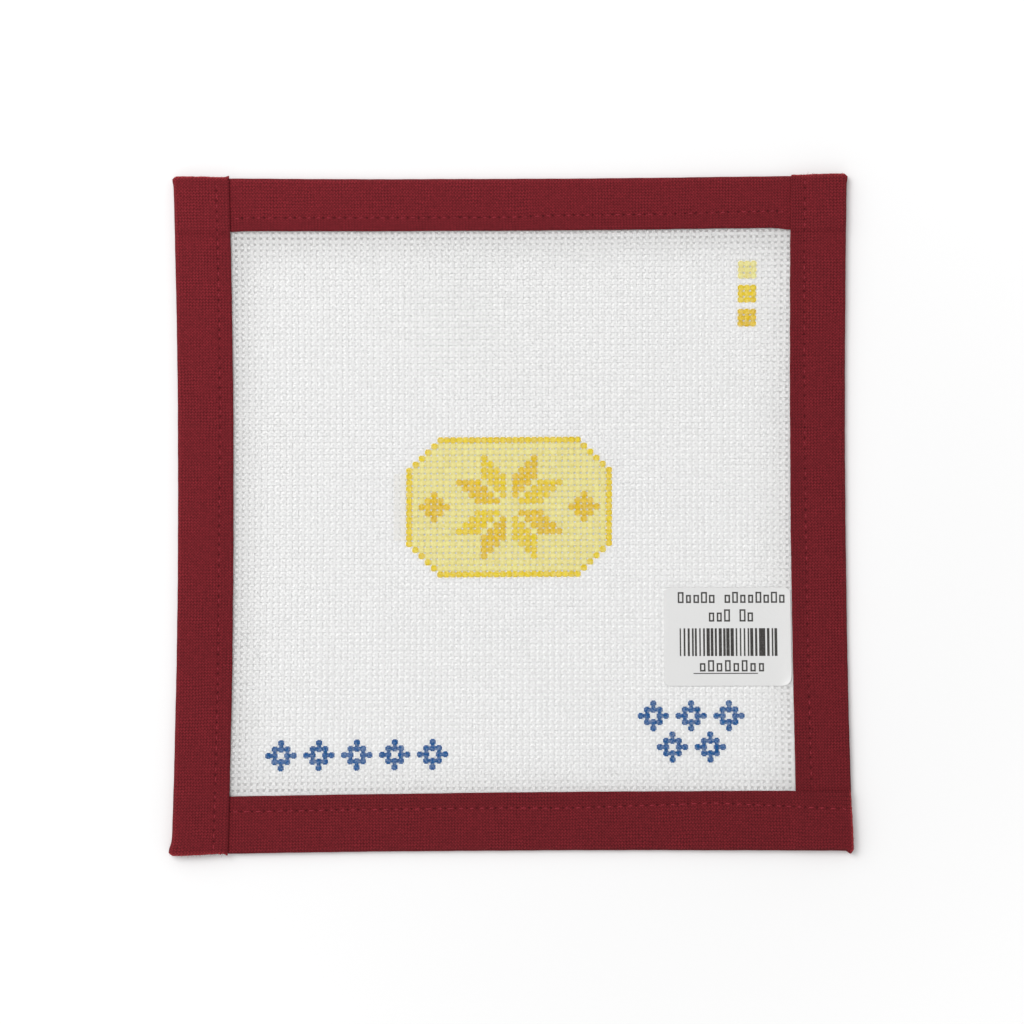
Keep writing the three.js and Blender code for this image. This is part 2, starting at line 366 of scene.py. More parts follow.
def write_places(mesh, across, up, name=BAKE_MAP):
    layer = mesh.uv_layers.get(name) or mesh.uv_layers.new(name=name)
    places = np.stack(np.broadcast_arrays(across, up), axis=-1)
    layer.data.foreach_set("uv", np.asarray(places, np.float32).ravel())


def select_only(piece):
    bpy.ops.object.select_all(action="DESELECT")
    piece.select_set(True)
    bpy.context.view_layer.objects.active = piece


def add_strip(name, columns, rows):
    """A flat square strip of side 1, with a face for each column and row."""
    bpy.ops.object.select_all(action="DESELECT")
    bpy.ops.mesh.primitive_grid_add(x_subdivisions=columns, y_subdivisions=rows, size=1)
    strip = bpy.context.object
    strip.name = strip.data.name = name
    strip.data.uv_layers[0].name = BAKE_MAP
    flat = points_of(strip.data)
    column = np.rint((flat[:, 0] + 0.5) * columns).astype(int)
    row = np.rint((flat[:, 1] + 0.5) * rows).astype(int)
    return strip, column, row


def close_up(piece):
    """Merges points that meet and turns the faces outward."""
    select_only(piece)
    bpy.ops.object.mode_set(mode="EDIT")
    bpy.ops.mesh.select_all(action="SELECT")
    bpy.ops.mesh.remove_doubles(threshold=MERGE)
    bpy.ops.mesh.normals_make_consistent(inside=False)
    bpy.ops.object.mode_set(mode="OBJECT")


def flat_ring():
    """Corners of a pressed thread's section, from below on the left, over the top and round."""
    return np.array([(-1, -1), (-PRESSED_TOP, 1), (PRESSED_TOP, 1), (1, -1), (-1, -1)], float)


def round_ring(sides):
    angle = -np.pi / 2 - 2 * np.pi * np.arange(sides + 1) / sides
    return np.stack([np.cos(angle), np.sin(angle)], axis=1)


class Tubes:
    """Closed tubes side by side, rolled from a strip, with their ends drawn in to a point.

    For each point, copy is its tube, step its place along the tube, and side and top its place
    on the tube's section.
    """

    def __init__(self, name, ring, steps, count):
        self.piece, column, row = add_strip(name, len(ring) - 1, steps)
        self.steps, self.count = steps, count
        self.mesh = self.piece.data
        section = ring[column] * ((row > 0) & (row < steps))[:, None]
        move_points(self.mesh, np.stack([section[:, 0], row / steps, section[:, 1]], axis=1))
        close_up(self.piece)
        around, along = places_of(self.mesh).T
        around = STRIP_MARGIN + around * (1 - 2 * STRIP_MARGIN)
        write_places(self.mesh, around / count, along)
        bpy.ops.object.modifier_add(type="ARRAY")
        array = self.piece.modifiers[-1]
        array.count = count
        array.use_relative_offset = False
        array.use_constant_offset = True
        array.constant_offset_displace = (SPREAD, 0, 0)
        array.offset_u = 1 / count
        bpy.ops.object.modifier_apply(modifier=array.name)
        points = points_of(self.mesh)
        self.copy = np.rint(points[:, 0] / SPREAD).astype(int)
        self.step = np.rint(points[:, 1] * steps).astype(int)
        self.side = points[:, 0] - self.copy * SPREAD
        self.top = points[:, 2]

    def faces(self):
        """For each face its tube, how far round the tube it is and its step along it."""
        places = places_of(self.mesh)
        first = np.empty(len(self.mesh.polygons), int)
        corners = np.empty(len(self.mesh.polygons), int)
        self.mesh.polygons.foreach_get("loop_start", first)
        self.mesh.polygons.foreach_get("loop_total", corners)
        middle = np.add.reduceat(places, first) / corners[:, None]
        strips = middle[:, 0] * self.count
        tube = np.floor(strips).astype(int)
        around = (strips - tube - STRIP_MARGIN) / (1 - 2 * STRIP_MARGIN)
        return tube, around, middle[:, 1] * self.steps, corners

    def place(self, points, crease=math.pi):
        """Puts the points in their places. Edges sharper than the crease angle stay sharp."""
        move_points(self.mesh, points)
        close_up(self.piece)
        bpy.ops.object.shade_smooth_by_angle(angle=crease)
        return self.piece


def lengths_along(points):
    """How far along a line of points each one is, from 0 to 1."""
    steps = np.linalg.norm(np.diff(points, axis=0), axis=1)
    total = np.concatenate([[0], np.cumsum(np.maximum(steps, SHORTEST_STEP))])
    return total / total[-1]


def outward(at, beside):
    """The way out of a slab at its edge, from the points beside it."""
    way = at - beside
    return way / np.linalg.norm(way, axis=-1, keepdims=True)


class Slab:
    """A thin closed slab between two grids of points, with its edges rounded.

    For each corner of each face, row and column are its place in the grids, and upper says
    whether it is on the first of them.
    """

    def __init__(self, name, upper, lower):
        rows, columns = upper.shape[:2]
        middle = (upper + lower) / 2
        bulge = np.linalg.norm(upper - lower, axis=-1, keepdims=True) * EDGE_BULGE
        last, first = [
            middle[:, [at]] + outward(middle[:, [at]], middle[:, [beside]]) * bulge[:, [at]]
            for at, beside in ((-1, -2), (0, 1))
        ]
        around = np.concatenate([upper, last, lower[:, ::-1], first, upper[:, :1]], axis=1)
        tips = [
            middle[at] + outward(middle[at], middle[beside]) * bulge[at]
            for at, beside in ((0, 1), (-1, -2))
        ]
        start, end = [np.concatenate([t, t[-1:], t[::-1], t[:1], t[:1]])[None] for t in tips]
        table = np.concatenate([start, around, end])

        faces_along, faces_around = table.shape[0] - 1, table.shape[1] - 1
        self.piece, column, row = add_strip(name, faces_around, faces_along)
        self.mesh = self.piece.data
        move_points(self.mesh, table[row, column])
        close_up(self.piece)
        self.mesh.shade_smooth()

        places = places_of(self.mesh)
        column = np.rint(places[:, 0] * faces_around).astype(int)
        row = np.rint(places[:, 1] * faces_along).astype(int)
        across = lengths_along(table[rows // 2])[column]
        along = lengths_along(table[:, columns // 2])[row]
        write_places(self.mesh, across, along)
        self.row = np.clip(row - 1, 0, rows - 1)
        self.upper = (column <= columns) | (column > 2 * columns + 1)
        self.column = np.where(column <= columns, column, 2 * columns - column)
        self.column = np.clip(self.column, 0, columns - 1)


def finish_piece(piece, slot, material, *nodes):
    """Gives a piece its material, hangs it on the body and hides the solids it stands for."""
    piece.data.materials.clear()
    piece.data.materials.append(material)
    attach(piece, BODY)
    if nodes:
        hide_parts(*nodes)
    return piece


# ---------------------------------------------------------------- materials


class Tree:
    """Adds nodes to a node tree. An input is a value or another node's output."""

    def __init__(self, tree):
        self.tree = tree
        tree.nodes.clear()

    def add(self, kind, inputs=None, **values):
        node = self.tree.nodes.new(kind)
        for name, value in values.items():
            setattr(node, name, value)
        for socket, value in (inputs or {}).items():
            if isinstance(value, bpy.types.NodeSocket):
                self.tree.links.new(value, node.inputs[socket])
            else:
                node.inputs[socket].default_value = value
        return node

    def math(self, operation, *values):
        inputs = dict(enumerate(values))
        return self.add("ShaderNodeMath", inputs, operation=operation).outputs[0]

    def times(self, first, *others):
        for other in others:
            first = self.math("MULTIPLY", first, other)
        return first

    def plus(self, first, *others):
        for other in others:
            first = self.math("ADD", first, other)
        return first

    def within(self, value, middle, reach):
        """1 where a value is no further than reach from the middle, and 0 elsewhere."""
        return self.math("COMPARE", value, middle, reach)

    def between(self, value, low, high):
        return self.within(value, (low + high) / 2, (high - low) / 2)

    def fade(self, value, low, high, start=0.0, end=1.0):
        inputs = {"Value": value, 1: low, 2: high, 3: start, 4: end}
        return self.add("ShaderNodeMapRange", inputs, interpolation_type="SMOOTHSTEP").outputs[0]

    def mix(self, factor, first, second, blend="MIX"):
        inputs = {0: factor, 6: first, 7: second}
        node = self.add("ShaderNodeMix", inputs, data_type="RGBA", blend_type=blend)
        return node.outputs[2]

    def map(self, name):
        """A UV map's place, as (across, up)."""
        return self.apart(self.add("ShaderNodeUVMap", uv_map=name).outputs[0])

    def place(self):
        return self.add("ShaderNodeTexCoord").outputs["Object"]

    def apart(self, place):
        """A place's first two numbers."""
        return self.add("ShaderNodeSeparateXYZ", {0: place}).outputs[:2]

    def random(self, number):
        """A number between 0 and 1 for each whole number."""
        inputs = {"W": number}
        return self.add("ShaderNodeTexWhiteNoise", inputs, noise_dimensions="1D").outputs[0]

    def noise(self, vector, scale, detail=2.0, roughness=0.5):
        inputs = {"Vector": vector, "Scale": scale, "Detail": detail, "Roughness": roughness}
        return self.add("ShaderNodeTexNoise", inputs).outputs["Fac"]

    def group(self, group, inputs):
        return self.add("ShaderNodeGroup", inputs, node_tree=group)

    def bump(self, height, distance, strength=1.0):
        inputs = {"Strength": strength, "Distance": distance, "Height": height}
        return self.add("ShaderNodeBump", inputs).outputs[0]

    def shade(self, inputs):
        shader = self.add("ShaderNodeBsdfPrincipled", inputs)
        self.add("ShaderNodeOutputMaterial", {"Surface": shader.outputs[0]})


# How much each finish varies, and how finely, in blotches and specks to the metre or so
MOTTLING = {
    "cotton": {"Blotches": 0.03, "Blotch scale": 60, "Specks": 0.05, "Speck scale": 2500},
    "tape": {"Blotches": 0.04, "Blotch scale": 90, "Specks": 0.14, "Speck scale": 1500},
    "thread": {"Blotches": 0.15, "Blotch scale": 300, "Specks": 0.15, "Speck scale": 3000},
    "paper": {"Blotches": 0.015, "Blotch scale": 120, "Specks": 0.02, "Speck scale": 4000},
}
# How deep each finish's relief is, and how strongly it shows
RELIEF = {
    "cotton": (0.05 * MM, 0.35),
    "tape": (0.12 * MM, 0.7),
    "thread": (0.08 * MM, 0.8),
    "paper": (0.01 * MM, 0.3),
}
PLIES = 3
CANVAS_TWISTS = 120  # along a whole thread of the canvas
SEWING_TWISTS = 5  # along a stitch or a fibre
YARN_ROUND = 0.9  # how far a yarn of the tape falls off to its sides: 1 is right down
FLOAT_ARCH = 0.85  # how far a float of the tape falls off to its ends


def new_material(name):
    material = bpy.data.materials.new(name)
    material.use_nodes = True
    return material, Tree(material.node_tree)


def new_group(name, inputs, outputs):
    """A node group with number inputs, given as {name: default}, and number outputs."""
    group = bpy.data.node_groups.new(name, "ShaderNodeTree")
    for socket, default in inputs.items():
        kind = "NodeSocketVector" if socket == "Vector" else "NodeSocketFloat"
        made = group.interface.new_socket(socket, in_out="INPUT", socket_type=kind)
        if kind == "NodeSocketFloat":
            made.default_value = default
    for socket in outputs:
        group.interface.new_socket(socket, in_out="OUTPUT", socket_type="NodeSocketFloat")
    tree = Tree(group)
    return group, tree, tree.add("NodeGroupInput").outputs, tree.add("NodeGroupOutput").inputs


def mottling_group():
    """Soft blotches and fine specks, both about 1: handling, dye and fibre unevenness."""
    inputs = {"Vector": None, **MOTTLING["thread"]}
    group, tree, given, out = new_group("Mottling", inputs, ["Factor"])
    blotch = tree.noise(given["Vector"], given["Blotch scale"])
    speck = tree.noise(given["Vector"], given["Speck scale"], detail=1)
    parts = []
    for value, size in ((blotch, "Blotches"), (speck, "Specks")):
        centred = tree.times(tree.plus(value, -0.5), 2)
        parts.append(tree.math("MULTIPLY_ADD", centred, given[size], 1))
    tree.tree.links.new(tree.times(*parts), out["Factor"])
    return group


def twist_group():
    """The ridges of a plied thread. Around is in turns and Along in twists."""
    inputs = {"Around": 0, "Along": 0, "Plies": PLIES}
    group, tree, given, out = new_group("Ply twist", inputs, ["Height"])
    turns = tree.plus(tree.times(given["Around"], given["Plies"]), given["Along"])
    ridge = tree.math("ABSOLUTE", tree.math("SINE", tree.times(turns, math.pi)))
    tree.tree.links.new(ridge, out["Height"])
    return group


def weave_group():
    """A plain weave. Across and Along are in yarns. Height is 1 on top of a float, Parity tells
    the floats of the two directions apart and Draw is a number of its own for each float."""
    outputs = ["Height", "Parity", "Draw"]
    group, tree, given, out = new_group("Plain weave", {"Across": 0, "Along": 0}, outputs)
    centred, cells = [], []
    for name in ("Across", "Along"):
        cells.append(tree.math("FLOOR", given[name]))
        centred.append(tree.plus(tree.math("FRACT", given[name]), -0.5))
    parity = tree.math("FLOORED_MODULO", tree.plus(*cells), 2)
    floats = []
    for width, run in (centred, centred[::-1]):
        rounded = tree.math("COSINE", tree.times(width, YARN_ROUND * math.pi))
        crest = tree.math("COSINE", tree.times(run, FLOAT_ARCH * math.pi))
        floats.append(tree.times(rounded, crest, crest))
    other = tree.math("SUBTRACT", 1, parity)
    height = tree.plus(tree.times(floats[0], parity), tree.times(floats[1], other))
    tree.tree.links.new(height, out["Height"])
    tree.tree.links.new(parity, out["Parity"])
    cell = tree.add("ShaderNodeCombineXYZ", {0: cells[0], 1: cells[1]}).outputs[0]
    drawn = tree.add("ShaderNodeTexWhiteNoise", {"Vector": cell}, noise_dimensions="2D")
    tree.tree.links.new(drawn.outputs["Value"], out["Draw"])
    return group


def rgba(rgb):
    return (*rgb, 1)


def scaled(tree, rgb, factor):
    """A colour, darker or lighter by a factor that varies over the surface."""
    grey = tree.add("ShaderNodeCombineColor", {0: factor, 1: factor, 2: factor}).outputs[0]
    return tree.mix(1.0, rgb, grey, blend="MULTIPLY")


def mottled(tree, groups, finish, place):
    """A finish's blotches and specks, about 1."""
    inputs = {"Vector": place, **MOTTLING[finish]}
    return tree.group(groups["mottling"], inputs).outputs[0]


def twisted(tree, groups, tubes, twists, plies=PLIES):
    """The ridges of a tube's twist, and the place along it from 0 to 1."""
    strip, along = tree.map(BAKE_MAP)
    around = tree.math("FRACT", tree.times(strip, tubes.count))
    inputs = {"Around": around, "Along": tree.times(along, twists), "Plies": plies}
    return tree.group(groups["twist"], inputs).outputs[0], along


# Painted shade: the canvas gets darker towards the tapes, where they shade it: from where to where,
# across and up, and how dark
TAPE_SHADE_RANGE = ((0.074, 0.0885), (0.0745, 0.0895))
DEEPEST_TAPE_SHADE = 0.89
PAINT_PATCHES = 1800  # to the metre or so
THINNEST_PAINT = 0.74  # how well the paint covers in the thinnest patches
CREST_HIGHLIGHT = (0.12, 0.97)  # partly painted highlight on the crest and partly thinner paint there: how much lighter paint is on a crossing, and how light it is in all
COTTON_FUZZ = 6000  # to the metre or so
RIDGE_SHARE, FUZZ_SHARE = 0.6, 0.5  # of the twist and of the fuzz in the thread's relief


def cotton_material(groups, tubes):
    """Stiff white cotton thread with paint on its crossings, painted shade towards the tapes and a
    painted highlight on the paint's crests.
    """
    material, tree = new_material("painted_cotton_" + tubes.piece.name)
    ridge, along = twisted(tree, groups, tubes, CANVAS_TWISTS)
    place = tree.place()
    shaded = mottled(tree, groups, "cotton", place)
    # painted shade: darker towards the tapes
    for distance, (near, far) in zip(tree.apart(place), TAPE_SHADE_RANGE):
        grey = tree.fade(tree.math("ABSOLUTE", distance), near, far, 1.0, DEEPEST_TAPE_SHADE)
        shaded = tree.times(shaded, grey)
    cotton = scaled(tree, rgba(settings("canvas").cotton), shaded)
    paint = tree.add("ShaderNodeAttribute", attribute_name=PAINT, attribute_type="GEOMETRY")
    patches = tree.noise(place, PAINT_PATCHES, detail=3)
    patches = tree.fade(patches, 0.25, 0.65, THINNEST_PAINT, 1.0)
    cover = tree.times(paint.outputs["Alpha"], patches)
    # painted highlight on each crossing's crest, darker between the crossings
    crest_light = tree.math("COSINE", tree.times(along, tubes.steps * math.pi))
    crest_light = tree.math("MULTIPLY_ADD", crest_light, *CREST_HIGHLIGHT)
    coated = scaled(tree, paint.outputs["Color"], crest_light)
    fuzz = tree.noise(place, COTTON_FUZZ, detail=2)
    height = tree.plus(tree.times(ridge, RIDGE_SHARE), tree.times(fuzz, FUZZ_SHARE))
    tree.shade(
        {
            "Base Color": tree.mix(cover, cotton, coated),
            "Roughness": 0.8,
            "Specular IOR Level": 0.2,
            "Subsurface Weight": 1.0,
            "Subsurface Radius": (1, 1, 1),
            "Subsurface Scale": 0.6 * MM,
            "Normal": tree.bump(height, *RELIEF["cotton"]),
        }
    )
    return material


PAINTED_FALLOFF = {"to_left": 0.4, "to_top": 0.6}  # painted light falloff: how much lighter the tape gets that way, towards the lamps, for each metre
# The unevenness of the tape's yarns, along it and across it, each slow and quick: how many waves
# to the metre or so. Then how far slow and quick ones shift a yarn, in yarns.
YARN_WAVES = ((45, 260), (52, 300))
SLOW_SHIFT, QUICK_SHIFT = 2.5, 1.3
PAIRED = (0.07, 0.2)  # how much lighter every other yarn is, where it shows least and most
PAIRED_PATCHES = 170  # to the metre or so
TAPE_FUZZ = 5000  # to the metre or so
TAPE_FUZZ_SHARE = 0.4  # of its height beside a yarn's
CHECK = (0.42, 0.79)  # how much lighter the floats along the tape are, and how light the others
DYE = (0.26, 0.87)  # how much a float differs from the next, and how light the darkest one is
HOLE_SHADE = (0.15 * MM, 0.6 * MM, 0.5)  # painted shade at a needle hole: from, to and how dark
EDGE_SHADE = (0.3 * MM, 1.2 * MM, 0.94)  # past the seam: from, to and how dark


def tape_material(groups):
    """Dark red cotton tape: a fine plain weave with painted shade between its yarns and at the needle
    holes, painted light towards the upper left, lighter where worn.
    """
    chosen = settings("tape")
    material, tree = new_material("woven_red_tape")
    to_hole, from_seam = tree.map(SEAM_MAP)
    place = tree.place()
    yarns = []
    for distance, (slow, quick) in zip(tree.map(CLOTH_MAP), YARN_WAVES):
        sway = tree.times(tree.plus(tree.noise(place, slow, detail=2), -0.5), SLOW_SHIFT)
        shake = tree.times(tree.plus(tree.noise(place, quick, detail=1), -0.5), QUICK_SHIFT)
        yarns.append(tree.plus(tree.math("DIVIDE", distance, chosen.yarn_spacing), sway, shake))
    weave = tree.group(groups["weave"], {"Across": yarns[1], "Along": yarns[0]})
    raised = weave.outputs["Height"]
    # painted shade: dark between the yarns, light on their tops
    cloth = tree.mix(raised, rgba(chosen.dark), rgba(chosen.light))
    wear = tree.add("ShaderNodeAttribute", attribute_name=WEAR, attribute_type="GEOMETRY")
    cloth = tree.mix(wear.outputs["Fac"], cloth, rgba(chosen.worn))
    blotched = mottled(tree, groups, "tape", place)
    in_patches = tree.noise(place, PAIRED_PATCHES, detail=1)
    in_patches = tree.fade(in_patches, 0.3, 0.7, *PAIRED)
    ribs = tree.plus(*[tree.math("COSINE", tree.times(each, math.pi)) for each in yarns])
    paired = tree.math("MULTIPLY_ADD", ribs, in_patches, 1)
    checks = tree.math("MULTIPLY_ADD", weave.outputs["Parity"], *CHECK)
    grain = tree.math("MULTIPLY_ADD", weave.outputs["Draw"], *DYE)
    # painted shade round the needle holes
    squares = tree.plus(tree.times(to_hole, to_hole), tree.times(from_seam, from_seam))
    hole = tree.fade(tree.math("SQRT", squares), *HOLE_SHADE, 1.0)
    near, far, dark = EDGE_SHADE
    beyond = tree.fade(from_seam, near, far, 1.0, dark)
    # painted light: the tape lighter towards the lamps at the upper left
    x, y = tree.apart(place)
    painted_falloff = tree.plus(1, tree.times(x, -PAINTED_FALLOFF["to_left"]), tree.times(y, PAINTED_FALLOFF["to_top"]))
    cloth = scaled(tree, cloth, tree.times(blotched, paired, checks, grain, hole, beyond, painted_falloff))
    fuzz = tree.noise(place, TAPE_FUZZ, detail=2)
    height = tree.plus(raised, tree.times(fuzz, TAPE_FUZZ_SHARE))
    tree.shade(
        {
            "Base Color": cloth,
            "Roughness": 0.9,
            "Specular IOR Level": 0.15,
            "Normal": tree.bump(height, *RELIEF["tape"]),
        }
    )
    return material


def sewing_material(groups, tubes, name, rgb, plies=PLIES):
    """Plied red thread with a slight sheen, with painted shade between its plies and lighter ridges.
    """
    material, tree = new_material(name)
    ridge, _ = twisted(tree, groups, tubes, SEWING_TWISTS, plies)
    blotched = mottled(tree, groups, "thread", tree.place())
    # painted shade in the grooves between the plies, lighter on their ridges
    shade = tree.times(blotched, tree.fade(ridge, 0.0, 0.8, 0.55, 1.1))
    tree.shade(
        {
            "Base Color": scaled(tree, rgba(rgb), shade),
            "Roughness": 0.6,
            "Specular IOR Level": 0.25,
            "Normal": tree.bump(ridge, *RELIEF["thread"]),
        }
    )
    return material


# ---------------------------------------------------------------- the canvas and its painting

BARE, PALE, MEDIUM, DEEP, BLUE = range(5)
MEDALLION = {"middle": (0, 1), "half": (16, 11), "cut": 22}
STAR = {"reach": 8, "petal": 4}
SIDE_DIAMOND = {"away": 12, "reach": 2}
KEY_SQUARES = {(38, 40): PALE, (38, 36): MEDIUM, (38, 32): DEEP}
DIAMOND_ROWS = [
    {"first": -36, "level": -39, "count": 5},
    {"first": 23, "level": -33, "count": 3},
    {"first": 26, "level": -38, "count": 2},
]
DIAMOND_STEP = 6
BLEED = 0.16  # paint that has run past the outline
UNDER_PAINT = 0.5  # how well the paint covers underneath
PAINT_UNEVEN = 0.03
SPARE_DRAWS = 9
SLANT = 0.0047  # how far upright threads lean to the right, for each mm up
DROOP = 0.000152  # how far level threads lie below their even places, for each square mm
THREAD_CREASE = math.radians(35)
SWAY_LENGTHS = 18, 70  # the shortest and longest waves in a thread's run
WIDTH_UNEVEN = 0.012, 0.008  # in slow waves and from step to step, for each mm
RUN_UNEVEN = 0.014, 0.005  # of a thread to its sides, in mm
HEIGHT_UNEVEN = 0.003


def painted(i, j):
    """The paint on the crossing of upright thread i and level thread j, and how far it covers."""
    paint = np.zeros(i.shape, int)
    x, y = i - MEDALLION["middle"][0], j - MEDALLION["middle"][1]
    ax, ay = abs(x), abs(y)
    half_x, half_y = MEDALLION["half"]
    inside = (ax <= half_x) & (ay <= half_y) & (ax + ay <= MEDALLION["cut"])
    outline = inside & ((ax == half_x) | (ay == half_y) | (ax + ay == MEDALLION["cut"]))
    paint[inside] = PALE
    longer, shorter = np.maximum(ax, ay), np.minimum(ax, ay)
    star = (longer <= STAR["reach"]) & (shorter <= STAR["petal"]) & (longer <= shorter + STAR["petal"])
    petal = star & (shorter > 0) & (longer > shorter)
    turn = (ax > ay) ^ (x * y > 0)
    paint[petal & turn] = DEEP
    paint[petal & ~turn] = MEDIUM
    paint[abs(ax - SIDE_DIAMOND["away"]) + ay <= SIDE_DIAMOND["reach"]] = DEEP
    paint[outline] = MEDIUM
    for (left, level), colour_of_key in KEY_SQUARES.items():
        paint[(abs(i - left) <= 1) & (abs(j - level) <= 1)] = colour_of_key
    for row in DIAMOND_ROWS:
        for k in range(row["count"]):
            away = abs(i - row["first"] - k * DIAMOND_STEP) + abs(j - row["level"])
            paint[(away == 2) | (away == 1)] = BLUE
    cover = (paint != BARE).astype(float)
    beside = -x - half_x
    run = (paint == BARE) & (beside >= 1) & (beside <= 2) & (ay <= half_y // 2)
    cover[run] = BLEED / beside[run]
    paint[run] = MEDIUM
    return paint, cover


def paint_threads(tubes, upright):
    """Colours each face by the crossing it is nearest to: well on top, thinly underneath."""
    tube, around, step, corners = tubes.faces()
    number = tube - tubes.count // 2
    crossing = np.rint((step - tubes.steps / 2) / 2).astype(int)
    i, j = (number, crossing) if upright else (crossing, number)
    paint, cover = painted(i, j)
    chosen = settings("paint")
    palette = np.array([(1, 1, 1), chosen.pale, chosen.medium, chosen.deep, chosen.blue])
    side = np.floor(around * 4).astype(int)
    cover = cover * np.array([1, 1, 1, UNDER_PAINT])[side]
    enough = 2 * tubes.count + SPARE_DRAWS
    uneven = draws("paint").normal(1, PAINT_UNEVEN, (enough, enough))
    colours = palette[paint] * uneven[i, j][:, None]
    rows = np.concatenate([colours.clip(0, 1), cover[:, None]], axis=1)
    layer = tubes.mesh.color_attributes.new(name=PAINT, type="FLOAT_COLOR", domain="CORNER")
    layer.data.foreach_set("color", np.repeat(rows, corners, axis=0).astype(np.float32).ravel())


SPACING = "pitch_across", "pitch_up", "shift_across", "shift_up"


def weave_place(i, j):
    """Where upright thread i and level thread j cross: the weave slants and droops a little."""
    pitch_across, pitch_up, shift_across, shift_up = in_millimetres("canvas", *SPACING)
    up = j * pitch_up
    return i * pitch_across + shift_across + SLANT * up, up + shift_up - DROOP * up**2


def crossing_at(u, v):
    """The threads at a place, as weave_place counts them, with fractions between threads."""
    pitch_across, pitch_up, shift_across, shift_up = in_millimetres("canvas", *SPACING)
    up = v - shift_up
    up = up + DROOP * up**2
    return (u - shift_across - SLANT * up) / pitch_across, up / pitch_up


def weave_threads(name, count, crossings, end, upright):
    """All the canvas's threads of one direction, going over and under those of the other one."""
    names = "crest_width", "neck_width", "under_width", "thread_height", "crimp"
    crest, neck, under, height, crimp = in_millimetres("canvas", *names)
    steps = 2 * crossings
    tubes = Tubes(name, flat_ring(), steps, count)
    paint_threads(tubes, upright)
    number = tubes.copy - count // 2
    crossing = tubes.step / 2 - crossings // 2
    wave = np.cos(np.pi * (crossing + number)) * (1 if upright else -1)
    u, v = weave_place(number, crossing) if upright else weave_place(crossing, number)
    across, along = (u, v) if upright else (v, u)
    along = np.clip(along, -end, end)

    draw = draws(name)
    phase = draw.uniform(0, 2 * np.pi, (3, count))[:, tubes.copy]
    lengths = draw.uniform(*SWAY_LENGTHS, (3, count))[:, tubes.copy]
    sway = np.sin(2 * np.pi * along / lengths + phase)
    jitter = draw.normal(0, 1, (3, count, steps + 1))[:, tubes.copy, tubes.step]
    width = neck + (crest - neck) * np.maximum(wave, 0) + (under - neck) * np.maximum(-wave, 0)
    slow, quick = WIDTH_UNEVEN
    width = width * (1 + slow * sway[0] + quick * jitter[0])
    threads = number, np.rint(crossing).astype(int)
    paint, _ = painted(*(threads if upright else threads[::-1]))
    coat = settings("paint").thickness / MM
    width = width + np.where(paint == BARE, 0, np.where(paint == BLUE, coat / 2, coat))
    slow, quick = RUN_UNEVEN
    across = across + slow * (sway[1] + sway[2]) + quick * jitter[1] + tubes.side * width / 2
    w = crimp * wave + HEIGHT_UNEVEN * jitter[2] + tubes.top * height / 2
    u, v = (across, along) if upright else (along, across)
    return tubes, tubes.place(lay_down(u, v, w), THREAD_CREASE)


# ---------------------------------------------------------------- the tapes


def is_upright(side):
    return side in ("left", "right")


def half_along(side):
    return HALF_HEIGHT if is_upright(side) else HALF_WIDTH


def leaf_width(side, front):
    leaf = FRONT_LEAF[side]
    if front:
        return leaf
    rest = settings("tape").width / MM - leaf
    return min(max(rest, seam_inward(side) + BACK_CAUGHT), leaf - BACK_SHORTER)


def leaf_taper(side, along):
    wider = LEAF_TAPER.get(side, 0) * along / half_along(side)
    for (way, _, neighbour), more in zip(ends(side), LEAF_END.get(side, (0, 0))):
        edge = half_along(side) - FRONT_LEAF[neighbour]
        wider = wider + more * smoothstep(way * along, edge - LEAF_END_RUN, edge)
    return wider


def seam_inward(side, along=None):
    """How far a seam is from the fold: in all, or where it really runs at places along it."""
    if along is None:
        return FRONT_LEAF[side] - SEAM_INSET
    places, insets = zip(*SEAM_RUN[side])
    return FRONT_LEAF[side] + leaf_taper(side, along) - np.interp(along, places, insets)


def on_side(side, along, inward):
    """(u, v) of a point of a side, given along it from its middle and inward from its fold."""
    out = (HALF_WIDTH if is_upright(side) else HALF_HEIGHT) - inward
    return {
        "bottom": (along, -out),
        "right": (out, along),
        "top": (-along, out),
        "left": (-out, -along),
    }[side]


def ends(side):
    """Both ends of a side: which way each is, if its tape lies over or under, and whose."""
    return [(way, *end) for way, end in zip((-1, 1), TAPES[side])]


def cut_at(side, lies):
    return half_along(side) + (OVERHANG if lies == "over" else -UNDER_INSET)


def climb(side, along, front):
    """How much higher a tape runs where it lies over its neighbour."""
    height = np.zeros(np.shape(along))
    for way, lies, neighbour in ends(side):
        if lies == "over":
            edge = half_along(side) - leaf_width(neighbour, front)
            height = height + LAYER * smoothstep(way * along, edge - RAMP_START, edge - RAMP_END)
    return height


def leaf_height(side, along, inward, front):
    """The middle of the cloth, outward from the canvas's mid-plane."""
    seam = seam_inward(side, along)
    corner = near_corner(along, half_along(side))
    first_over, last_over = [lies == "over" for _, lies, _ in ends(side)]
    over = np.where(along < 0, first_over, last_over)
    resting = CANVAS_THICKNESS / 2 + GAP + TAPE_THICKNESS / 2 + climb(side, along, front)
    free = EDGE_LIFT * np.clip((inward - seam) / SEAM_INSET, 0, 1) ** 2 * (1 - corner)
    crown = lerp(CROWN, np.where(over, CORNER_CROWN, 0), corner)
    if front:
        share = np.clip((inward + FOLD_RADIUS) / (seam + FOLD_RADIUS), 0, 1)
        puff = np.maximum(np.sin(np.pi * share), 0) ** CROWN_POWER
    else:
        puff = 1 - smoothstep(inward, seam - SEAM_EASE_BACK, seam)
    uneven = 1 + waver(along, CROWN_UNEVEN, (61, 37, 23), "front" if front else "back", side)
    return resting + np.where(inward > seam, free, crown * puff * uneven)


BY_SEAM = np.array([1.6, 1.1, 0.75, 0.5, 0.3, 0.12, 0, -0.12, -0.3, -0.5, -0.75, -1.1, -1.6])
EDGE_COLUMNS, LEAF_COLUMNS = 5, 12
FOLD_TURNS = np.arange(75, -76, -15)  # in degrees


